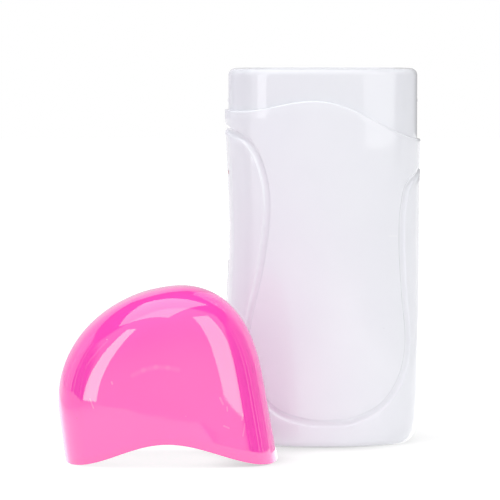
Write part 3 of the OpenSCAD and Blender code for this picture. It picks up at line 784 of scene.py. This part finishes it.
# Dust: tiny specks in loose patches.
def makeDustGroup():
    tree, start, end = newGroup("dustSpecks", {"Scale": 900, "Amount": 0.2}, ["Vector"], ["Mask"])
    cells = nodeOf(tree, "TexVoronoi", {"Vector": start["Vector"], "Scale": start["Scale"]})
    specks = between(tree, cells["Distance"], 0.06, 0.2, 1, 0)
    feed(tree, end["Mask"], times(tree, specks, patches(tree, start, 0.3, 0.85, 0.5, 0.05)))
    return tree


# Drawn or rolled metal: fine lines along one direction, with a slower tone across them.
def makeDrawnGroup():
    tree, start, end = newGroup("drawnLines", {"Scale": 900}, ["Vector", "Stretch"], ["Height", "Tone"])
    stretched = vectorOf(tree, "MULTIPLY", start["Vector"], start["Stretch"])
    lines = noiseOf(tree, stretched, start["Scale"], 5, 0.7)
    broad = noiseOf(tree, stretched, times(tree, start["Scale"], 0.12), 2)
    tone = calculate(tree, "MULTIPLY_ADD", lines, 0.6, times(tree, broad, 0.4))
    feed(tree, end["Height"], lines)
    feed(tree, end["Tone"], between(tree, tone, 0.3, 0.7))
    return tree


# One short stroke from point to point, such as a scuff, a mould mark or a speck.
def makeStrokeGroup():
    tree, start, end = newGroup("stroke", {"Width": 0.001}, ["Vector", "From", "To"], ["Mask"])
    along = vectorOf(tree, "SUBTRACT", start["To"], start["From"])
    toSpot = vectorOf(tree, "SUBTRACT", start["Vector"], start["From"])
    length = vectorOf(tree, "DOT_PRODUCT", along, along)
    share = calculate(tree, "DIVIDE", vectorOf(tree, "DOT_PRODUCT", toSpot, along), length)
    share = calculate(tree, "MINIMUM", calculate(tree, "MAXIMUM", share, 0), 1)
    nearest = nodeOf(tree, "VectorMath", {"Vector": along, "Scale": share}, operation="SCALE")["Vector"]
    off = vectorOf(tree, "LENGTH", vectorOf(tree, "SUBTRACT", toSpot, nearest))
    feed(tree, end["Mask"], between(tree, off, 0, start["Width"], 1, 0))
    return tree


groups = {"grain": makeGrainGroup(), "hairlines": makeScratchGroup(), "dust": makeDustGroup(),
          "drawn": makeDrawnGroup(), "stroke": makeStrokeGroup()}

white = (1.0, 1.0, 1.0)
markBlack = (0.05, 0.04, 0.05)

# The cap's small scuffs: from, to, width, strength.
capMarks = [((-0.0823, -0.0716, 0.0234), (-0.0811, -0.0721, 0.0204), 0.00045, 0.12),
            ((-0.0749, -0.0741, 0.0294), (-0.0747, -0.0742, 0.0288), 0.0005, 0.14),
            ((-0.0384, -0.0732, 0.0238), (-0.0374, -0.0730, 0.0217), 0.0006, 0.10),
            ((-0.0360, -0.0726, 0.0206), (-0.0359, -0.0727, 0.0193), 0.0004, 0.12),
            ((-0.0371, -0.0735, 0.0143), (-0.0354, -0.0730, 0.0135), 0.0005, 0.10),
            ((-0.0306, -0.0705, 0.0180), (-0.0309, -0.0709, 0.0160), 0.0005, 0.12),
            ((-0.0299, -0.0706, 0.0146), (-0.0306, -0.0713, 0.0106), 0.0004, 0.10),
            ((-0.0868, -0.0690, 0.0166), (-0.0867, -0.0690, 0.0165), 0.0005, -0.20),
            ((-0.0678, -0.0756, 0.0318), (-0.0642, -0.0760, 0.0336), 0.0014, 0.03),
            ((-0.0642, -0.0760, 0.0336), (-0.0600, -0.0761, 0.0346), 0.0014, 0.035),
            ((-0.0600, -0.0761, 0.0346), (-0.0560, -0.0761, 0.0344), 0.0014, 0.035),
            ((-0.0560, -0.0761, 0.0344), (-0.0526, -0.0759, 0.0337), 0.0014, 0.03),
            ((-0.0290, -0.0649, 0.0391), (-0.0276, -0.0649, 0.0365), 0.0007, -0.10),
            ((-0.0276, -0.0649, 0.0365), (-0.0270, -0.0650, 0.0316), 0.0006, -0.12)]

# Finishes. Colours drift from the first to the second with the tone, and roughness with them. Grain is
# (scale, fine, slow, depth in metres), drawn is (scale, stretch, depth), hairlines (scale, amount,
# strength), dust (scale, amount, colour) and marks (from, to, width, strength). Sockets are plain values of
# the shader.
metal = {"Metallic": 1.0}
finishes = {
    "shellWhite": {
        "colour": (0.860, 0.870, 0.906), "second": (0.850, 0.860, 0.899), "rough": (0.012, 0.024),
        "grain": (1500, 0.006, 0.25, 0.00014), "hairlines": (70, 0.12, 0.03),
        "dust": (700, 0.10, (0.74, 0.74, 0.78)),
        "marks": [((0.0225, -0.0205, 0.0749), (0.0254, -0.0192, 0.0748), 0.00045, 0.25),
                  ((-0.0335, -0.0050, 0.1227), (-0.0335, -0.0047, 0.1224), 0.0005, -0.35)],
        "sockets": {"Specular IOR Level": 0.36}},
    "capPink": {
        "colour": (1.0, 0.078, 0.500), "second": (0.99, 0.072, 0.488), "rough": (0.012, 0.028),
        "grain": (1300, 0.008, 0.35, 0.00018), "hairlines": (90, 0.16, 0.04),
        "dust": (800, 0.22, (1.0, 0.42, 0.72)), "marks": capMarks, "bounce": (0.90, 0.42, 0.72),
        "sockets": {"Specular IOR Level": 1.0, "Specular Tint": (1, 1, 0.70, 1)}},
    "baseWhite": {
        "colour": (0.82, 0.83, 0.86), "second": (0.76, 0.77, 0.80), "rough": (0.42, 0.58),
        "grain": (2600, 0.9, 0.1, 0.00004), "dust": (500, 0.3, (0.60, 0.58, 0.56)),
        "hairlines": (80, 0.6, 0.12)},
    "windowClear": {
        "colour": (0.93, 0.96, 0.98), "second": (0.88, 0.92, 0.95), "rough": (0.05, 0.12),
        "grain": (900, 0.03, 0.5, 0.00012), "hairlines": (120, 0.4, 0.2),
        "sockets": {"Transmission Weight": 1.0, "IOR": 1.49}},
    "lensRed": {
        "colour": (0.84, 0.54, 0.56), "second": (0.76, 0.44, 0.46), "rough": (0.08, 0.16),
        "grain": (2500, 0.05, 0.4, 0.00008), "sockets": {"Transmission Weight": 0.2, "IOR": 1.52}},
    "sleeveAluminium": {
        "colour": (0.80, 0.81, 0.82), "second": (0.70, 0.71, 0.73), "rough": (0.24, 0.42),
        "drawn": (1400, (1, 1, 0.03), 0.000012), "dust": (500, 0.25, (0.75, 0.55, 0.25)),
        "hairlines": (90, 0.5, 0.15), "sockets": metal},
    "caseAluminium": {
        "colour": (0.76, 0.77, 0.78), "second": (0.64, 0.65, 0.67), "rough": (0.30, 0.48),
        "drawn": (1600, (0.04, 1, 1), 0.000014), "hairlines": (70, 0.7, 0.2),
        "dust": (450, 0.2, (0.45, 0.42, 0.38)), "sockets": metal},
    "seatIvory": {
        "colour": (0.80, 0.78, 0.71), "second": (0.72, 0.69, 0.60), "rough": (0.45, 0.62),
        "grain": (2200, 0.8, 0.2, 0.00005), "dust": (600, 0.25, (0.55, 0.48, 0.36))},
    "sealSilicone": {
        "colour": (0.62, 0.14, 0.07), "second": (0.50, 0.10, 0.05), "rough": (0.55, 0.75),
        "grain": (1800, 0.6, 0.5, 0.00006), "dust": (900, 0.5, (0.66, 0.40, 0.34)),
        "sockets": {"Sheen Weight": 0.2}},
    "stoneCeramic": {
        "colour": (0.13, 0.13, 0.14), "second": (0.07, 0.07, 0.075), "rough": (0.55, 0.8),
        "grain": (3500, 1.0, 0.2, 0.00008), "dust": (1600, 0.7, (0.42, 0.42, 0.43))},
    "stripBrass": {
        "colour": (0.80, 0.60, 0.28), "second": (0.62, 0.42, 0.18), "rough": (0.22, 0.42),
        "drawn": (1800, (0.05, 1, 1), 0.000012), "hairlines": (110, 0.6, 0.2),
        "dust": (600, 0.2, (0.30, 0.20, 0.10)), "sockets": metal},
    "filmAmber": {
        "colour": (0.80, 0.52, 0.14), "second": (0.70, 0.42, 0.10), "rough": (0.12, 0.28),
        "grain": (500, 0.2, 0.8, 0.00012), "hairlines": (90, 0.5, 0.15),
        "sockets": {"Coat Weight": 0.4, "Coat Roughness": 0.1}},
    "bandSteel": {
        "colour": (0.52, 0.54, 0.58), "second": (0.40, 0.40, 0.43), "rough": (0.25, 0.42),
        "drawn": (1700, (1, 1, 14), 0.00001), "hairlines": (120, 0.6, 0.2),
        "dust": (500, 0.2, (0.33, 0.24, 0.17)), "sockets": metal},
    "fuseMetal": {
        "colour": (0.70, 0.71, 0.74), "second": (0.58, 0.59, 0.62), "rough": (0.18, 0.34),
        "drawn": (2200, (1, 1, 10), 0.000008), "hairlines": (150, 0.5, 0.2), "sockets": metal},
    "socketBlack": {
        "colour": (0.035, 0.035, 0.040), "second": (0.055, 0.055, 0.060), "rough": (0.36, 0.52),
        "grain": (2800, 0.9, 0.15, 0.00004), "dust": (900, 0.45, (0.20, 0.20, 0.20)),
        "hairlines": (130, 0.6, 0.10)},
    "pinNickel": {
        "colour": (0.80, 0.79, 0.75), "second": (0.68, 0.66, 0.61), "rough": (0.10, 0.24),
        "drawn": (2600, (1, 0.05, 1), 0.000006), "hairlines": (200, 0.8, 0.25),
        "sockets": metal},
    "leadBrown": {
        "colour": (0.21, 0.09, 0.045), "second": (0.16, 0.065, 0.03), "rough": (0.35, 0.55),
        "grain": (2400, 0.5, 0.6, 0.00005), "dust": (900, 0.4, (0.38, 0.30, 0.25))},
    "leadBlue": {
        "colour": (0.05, 0.16, 0.48), "second": (0.035, 0.12, 0.38), "rough": (0.35, 0.55),
        "grain": (2400, 0.5, 0.6, 0.00005), "dust": (900, 0.4, (0.28, 0.33, 0.44))},
    "leadRed": {
        "colour": (0.48, 0.05, 0.035), "second": (0.38, 0.035, 0.025), "rough": (0.32, 0.50),
        "grain": (3200, 0.4, 0.5, 0.00003), "dust": (1300, 0.35, (0.50, 0.32, 0.30))},
    "lampGlass": {
        "colour": (1.0, 0.86, 0.78), "second": (0.96, 0.74, 0.62), "rough": (0.02, 0.06),
        "grain": (900, 0.02, 0.6, 0.00010), "sockets": {"Transmission Weight": 1.0, "IOR": 1.5}},
    "resistorBody": {
        "colour": (0.68, 0.53, 0.34), "second": (0.58, 0.44, 0.27), "rough": (0.18, 0.32),
        "grain": (2000, 0.3, 0.6, 0.00005), "dust": (1500, 0.4, (0.42, 0.32, 0.2)),
        "sockets": {"Coat Weight": 0.5, "Coat Roughness": 0.15}},
    "crimpTin": {
        "colour": (0.70, 0.70, 0.68), "second": (0.56, 0.56, 0.54), "rough": (0.28, 0.46),
        "drawn": (2000, (1, 1, 0.08), 0.00001), "hairlines": (170, 0.8, 0.25),
        "dust": (900, 0.3, (0.35, 0.33, 0.30)), "sockets": metal},
    "screwZinc": {
        "colour": (0.62, 0.63, 0.66), "second": (0.50, 0.50, 0.52), "rough": (0.25, 0.42),
        "drawn": (2400, (1, 0.1, 1), 0.00001), "hairlines": (220, 0.8, 0.3),
        "dust": (1200, 0.3, (0.32, 0.30, 0.26)), "sockets": metal}}

nodeFinishes = {
    "base_plate": "baseWhite", "level_window": "windowClear", "heating_sleeve": "sleeveAluminium",
    "sleeve_seat": "seatIvory", "collar_seal": "sealSilicone", "heater_case": "caseAluminium",
    "ptc_stones": "stoneCeramic", "electrode_strips": "stripBrass", "insulating_sheet": "filmAmber",
    "clamp_band": "bandSteel", "thermal_fuse": "fuseMetal", "inlet_socket": "socketBlack",
    "inlet_pins": "pinNickel", "live_lead": "leadBrown", "fuse_lead": "leadBrown",
    "neutral_lead": "leadBlue", "lamp_leads": "leadRed", "neon_lamp": "lampGlass",
    "lamp_resistor": "resistorBody", "crimp_sleeves": "crimpTin"}


def makeFinish(name, values):
    material, tree = newMaterial(name)
    shader = tree.nodes["Principled BSDF"].inputs
    for label, value in values.get("sockets", {}).items():
        shader[label].default_value = value
    place = nodeOf(tree, "TexCoord")["Object"]

    def placed(group, **inputs):
        return nodeOf(tree, "Group", {"Vector": place, **inputs}, node_tree=groups[group])

    if "drawn" in values:
        scale, stretch, depth = values["drawn"]
        surface = placed("drawn", Scale=scale, Stretch=stretch)
    else:
        scale, fine, slow, depth = values["grain"]
        surface = placed("grain", Scale=scale, Fine=fine, Slow=slow)
    colour = mixed(tree, surface["Tone"], values["colour"], values["second"])
    rough = between(tree, surface["Tone"], 0, 1, *values["rough"])
    if "dust" in values:
        scale, amount, dustColour = values["dust"]
        dust = placed("dust", Scale=scale, Amount=amount)["Mask"]
        colour = mixed(tree, dust, colour, dustColour)
        rough = calculate(tree, "MULTIPLY_ADD", dust, 0.3, rough)
    if "hairlines" in values:
        scale, amount, strength = values["hairlines"]
        lines = placed("hairlines", Scale=scale, Amount=amount)["Mask"]
        lines = times(tree, lines, strength)
        colour = mixed(tree, lines, colour, white)
        rough = calculate(tree, "ADD", lines, rough)
    for start, end, width, strength in values.get("marks", ()):
        mark = placed("stroke", From=start, To=end, Width=width)["Mask"]
        mark = times(tree, mark, abs(strength))
        colour = mixed(tree, mark, colour, white if strength > 0 else markBlack)
    if "bounce" in values:  # less colour thrown on the body beside it
        colour = mixed(tree, nodeOf(tree, "LightPath")["Is Diffuse Ray"], colour, values["bounce"])
    feed(tree, shader["Base Color"], colour)
    feed(tree, shader["Roughness"], rough)
    bump = nodeOf(tree, "Bump", {"Strength": 1.0, "Distance": depth, "Height": surface["Height"]})
    feed(tree, shader["Normal"], bump["Normal"])
    return material


materials = {name: makeFinish(name, values) for name, values in finishes.items()}
worn = [(piece, name) for piece, *_, name in detailed]
worn += [(nodes[node], name) for node, name in nodeFinishes.items()]
for piece, name in worn:
    piece.data.materials.clear()
    piece.data.materials.append(materials[name])
print("finishes", len(materials))

# A white table whose front edge is near, so the cap mirrors it below and the darker room above it. The
# camera sees it nearly white, with a weak cast shadow and a tight dark line where the pieces touch it.
table = {"corners": [(-2.5, -0.19), (-0.16, -0.19), (-0.09, -0.25), (0.45, -1.1), (2.5, -1.1), (2.5, 3.0),
                     (-2.5, 3.0)],
         "sink": 0.00005, "colour": (0.86, 0.86, 0.86), "lift": (0.93, 0.80), "liftAcross": (-0.045, -0.02),
         "mirrored": (1.75, 0.1), "mirroredFrom": 0.03, "mirroredReach": (0.17, 0.32),
         "shadowGrey": (0.24, 0.24, 0.24), "shadowReach": (0.09, 0.2), "contactReach": 0.022,
         "contactSamples": 16, "contactLow": 0.35, "contactAcross": (-0.10, 0.06),
         "contact": [(0.0, 0.97), (0.28, 0.86), (0.44, 0.72), (0.56, 0.56), (0.68, 0.62), (0.80, 0.90),
                     (1.0, 0.98)]}


def makeTable():
    clearSelection()
    bpy.ops.mesh.primitive_circle_add(vertices=len(table["corners"]), radius=1, fill_type="NGON")
    floor = named("tableTop")
    for vertex, (x, y) in zip(floor.data.vertices, table["corners"]):
        vertex.co = (x, y, -table["sink"])
    outwards(floor)
    if floor.data.polygons[0].normal.z < 0:
        floor.data.flip_normals()
    material, tree = newMaterial("tableWhite")
    tree.nodes.remove(tree.nodes["Principled BSDF"])
    place = nodeOf(tree, "TexCoord")["Object"]
    x = nodeOf(tree, "SeparateXYZ", {"Vector": place})["X"]
    fromX, toX = table["contactAcross"]
    across = nodeOf(tree, "MapRange", {"Value": x, "From Min": fromX, "From Max": toX})["Result"]
    contact = tree.nodes.new("ShaderNodeValToRGB")
    stops = contact.color_ramp.elements
    while len(stops) < len(table["contact"]):
        stops.new(0.5)
    for stop, (spot, value) in zip(stops, table["contact"]):
        stop.position = spot
        stop.color = (value, value, value, 1)
    feed(tree, contact.inputs["Fac"], across)
    corner = nodeOf(tree, "AmbientOcclusion", {"Distance": table["contactReach"]},
                    samples=table["contactSamples"])["AO"]
    touch = between(tree, corner, table["contactLow"], 1.0, contact.outputs["Color"], 1.0)
    near = between(tree, x, *table["liftAcross"], *table["lift"])
    far = between(tree, vectorOf(tree, "LENGTH", place), *table["shadowReach"], near, 1.0)
    rays = nodeOf(tree, "LightPath")
    aside = calculate(tree, "ABSOLUTE", calculate(tree, "SUBTRACT", x, table["mirroredFrom"]))
    mirrored = times(tree, rays["Is Glossy Ray"],
                         between(tree, aside, *table["mirroredReach"], *table["mirrored"]))
    strength = calculate(tree, "MAXIMUM", times(tree, far, touch), mirrored)
    paper = nodeOf(tree, "BsdfDiffuse", {"Color": (*table["colour"], 1)})["BSDF"]
    shade = nodeOf(tree, "BsdfDiffuse", {"Color": (*table["shadowGrey"], 1)})["BSDF"]
    lift = nodeOf(tree, "Emission", {"Strength": strength})["Emission"]
    seen = nodeOf(tree, "AddShader", {0: shade, 1: lift})["Shader"]
    pick = calculate(tree, "MAXIMUM", rays["Is Camera Ray"], rays["Is Glossy Ray"])
    top = nodeOf(tree, "MixShader", {0: pick, 1: paper, 2: seen})["Shader"]
    feed(tree, tree.nodes["Material Output"].inputs["Surface"], top)
    floor.data.materials.append(material)
    return floor


# The room: plain white behind for the camera, mirrored by gloss as a white wall behind and a dim front, with
# thin bright slats at the sides. Every other ray sees the soft fill. Pairs are a change's start and end.
room = {"fill": 0.435, "backFill": 0.42, "back": (0.14, 0.18), "backTop": (0.55, 0.59),
        "mirrorBack": (0.8, 0.2), "mirrorBackAcross": (-0.2, 0.4), "mirrorFront": (1.5, 1.05),
        "mirrorFrontUp": (-0.1, 0.5), "mirrorGap": 0.05, "frontSide": (0.76, 0.84), "front": (-0.3, -0.2),
        "slats": 1.0, "slatScale": 9.0, "slatDetail": 2.0, "slatEdge": (0.52, 0.62),
        "slatsFrom": (1.0, 1.05), "slatsTo": (2.1, 2.4), "slatsTop": (0.5, 0.6),
        "leftTint": (0.97, 0.95, 1.03), "tintAcross": (0.3, -0.5)}


def makeRoom():
    world = bpy.data.worlds.new("room")
    bpy.context.scene.world = world
    world.use_nodes = True
    tree = world.node_tree
    way = nodeOf(tree, "SeparateXYZ", {"Vector": nodeOf(tree, "TexCoord")["Generated"]})
    x, y, z = way["X"], way["Y"], way["Z"]
    side = calculate(tree, "ABSOLUTE", x)
    back = times(tree, between(tree, y, *room["back"]), between(tree, z, *room["backTop"], 1, 0))
    front = times(tree, between(tree, side, *room["frontSide"], 1, 0),
                  between(tree, y, *room["front"], 1, 0))
    around = calculate(tree, "ARCTAN2", side, times(tree, y, -1))
    slats = nodeOf(tree, "TexNoise", {"W": around, "Scale": room["slatScale"], "Detail": room["slatDetail"]},
                   noise_dimensions="1D")["Fac"]
    lines = times(tree, between(tree, slats, *room["slatEdge"]), between(tree, around, *room["slatsFrom"]),
                    between(tree, around, *room["slatsTo"], 1, 0),
                    between(tree, z, *room["slatsTop"], 1, 0), room["slats"])
    wall = between(tree, x, *room["mirrorBackAcross"], *room["mirrorBack"])
    dim = between(tree, z, *room["mirrorFrontUp"], *room["mirrorFront"])
    mirror = calculate(tree, "MULTIPLY_ADD", back, wall,
                       calculate(tree, "MULTIPLY_ADD", front, dim, room["mirrorGap"]))
    mirror = calculate(tree, "ADD", mirror, lines)
    fill = calculate(tree, "MULTIPLY_ADD", back, room["backFill"], room["fill"])
    rays = nodeOf(tree, "LightPath")
    glossy = calculate(tree, "MAXIMUM", rays["Is Glossy Ray"], rays["Is Transmission Ray"])
    dull = nodeOf(tree, "Mix", {0: glossy, 2: fill, 3: mirror})[0]
    seen = nodeOf(tree, "Mix", {0: rays["Is Camera Ray"], 2: dull, 3: 1})[0]
    tinted = times(tree, between(tree, x, *room["tintAcross"]),
                     calculate(tree, "SUBTRACT", 1, rays["Is Camera Ray"]))
    background = tree.nodes["Background"].inputs
    feed(tree, background["Strength"], seen)
    feed(tree, background["Color"], mixed(tree, tinted, white, room["leftTint"]))


# Softboxes, each placed as it is seen from the part it lights: the way to it, how far off it is if not one
# metre, and half its angles across and up. The brightness is what a mirror would show, with the white
# background as 1.
softboxes = {
    "capLeft": {"seenFrom": (-0.08, -0.07, 0.03), "azimuth": -46.5, "elevation": 18.5, "distance": 0.85,
                "halfAngles": (5.8, 25.5), "roll": -6, "bright": 3.7, "lights": "cap"},
    "capRight": {"seenFrom": (-0.035, -0.07, 0.03), "azimuth": 47.5, "elevation": 25.6, "distance": 0.9,
                 "halfAngles": (7.5, 24.5), "bright": 2.85, "lights": "cap"},
    "bodyLeft": {"seenFrom": (-0.023, -0.022, 0.115), "azimuth": -43.5, "elevation": 24.2,
                 "halfAngles": (3.7, 26.1), "bright": 3.4, "lights": "body"},
    "bodyRight": {"seenFrom": (0.020, -0.022, 0.108), "azimuth": 42, "elevation": 24,
                  "halfAngles": (13, 26.5), "bright": 2.1, "lights": "body", "only": "gloss"},
    "bodyFront": {"seenFrom": (0, -0.02, 0.067), "azimuth": 30, "elevation": 25,
                  "halfAngles": (20, 20), "bright": 1.38, "lights": "body", "only": "diffuse"},
    "ledgeRight": {"seenFrom": (0.025, -0.02, 0.112), "azimuth": 80, "elevation": 57,
                   "halfAngles": (16, 13), "bright": 2.2, "lights": "shells", "only": "gloss"},
    "sideRight": {"seenFrom": (0.034, 0, 0.067), "azimuth": 125, "elevation": 12,
                  "halfAngles": (18, 22), "bright": 0.7, "lights": "body", "only": "diffuse"},
    "capSide": {"seenFrom": (-0.03, -0.05, 0.03), "azimuth": 70, "elevation": 8,
                "halfAngles": (18, 18), "bright": 0.55, "lights": "cap", "only": "diffuse"}}
topSoftbox = {"at": (-0.185, -0.127, 0.80), "turn": -30, "size": (0.80, 0.74),
              "bright": {"capAndTable": 2.5, "collarAlone": 1.8, "shells": 2.3}}


def lampOf(name, at, rotation, size, bright, receivers):
    clearSelection()
    bpy.ops.object.light_add(type="AREA", location=at, rotation=rotation)
    lamp = bpy.context.object
    lamp.name = name
    lamp.data.shape = "RECTANGLE"
    lamp.data.size, lamp.data.size_y = size
    lamp.data.energy = bright * math.pi * size[0] * size[1]
    lamp.light_linking.receiver_collection = receivers
    return lamp


def makeSoftboxes(floor):
    meshes = [piece for piece in bpy.data.objects if piece.type == "MESH"]
    rest = [piece for piece in meshes if piece not in (capPiece, floor)]
    receivers = {"cap": [capPiece], "body": rest + [floor], "capAndTable": [capPiece, floor],
                 "collarAlone": [collarPiece],
                 "shells": [piece for piece in rest if piece is not collarPiece]}
    groupOf = {}
    for name, pieces in receivers.items():
        groupOf[name] = bpy.data.collections.new(name + "Receivers")
        for piece in pieces:
            groupOf[name].objects.link(piece)
    for name, values in softboxes.items():
        around, up = math.radians(values["azimuth"]), math.radians(values["elevation"])
        way = Vector((math.sin(around) * math.cos(up), -math.cos(around) * math.cos(up), math.sin(up)))
        far = values.get("distance", 1.0)
        size = [2 * far * math.tan(math.radians(angle)) for angle in values["halfAngles"]]
        roll = Quaternion((0, 0, 1), math.radians(values.get("roll", 0)))
        turn = (-way).to_track_quat("-Z", "Y") @ roll
        lamp = lampOf(name, Vector(values["seenFrom"]) + far * way, turn.to_euler(), size, values["bright"],
                      groupOf[values["lights"]])
        lamp.visible_diffuse = values.get("only") != "gloss"
        lamp.visible_glossy = values.get("only") != "diffuse"
    for name, bright in topSoftbox["bright"].items():
        lampOf(name + "Top", topSoftbox["at"], (0, 0, math.radians(topSoftbox["turn"])), topSoftbox["size"],
               bright, groupOf[name])


tableTop = makeTable()
makeRoom()
makeSoftboxes(tableTop)
print("table, room and softboxes")

# The photo's camera, fitted to its outlines.
view = {"at": (-0.05781, -1.09948, 0.14793), "tilt": 85.872, "turn": -1.649, "lens": 220.3, "sensor": 36}
bpy.ops.object.camera_add(location=view["at"],
                          rotation=(math.radians(view["tilt"]), 0, math.radians(view["turn"])))
camera = bpy.context.object
camera.data.lens = view["lens"]
camera.data.sensor_width = view["sensor"]
bpy.context.scene.camera = camera
bpy.context.scene.view_settings.view_transform = "Standard"
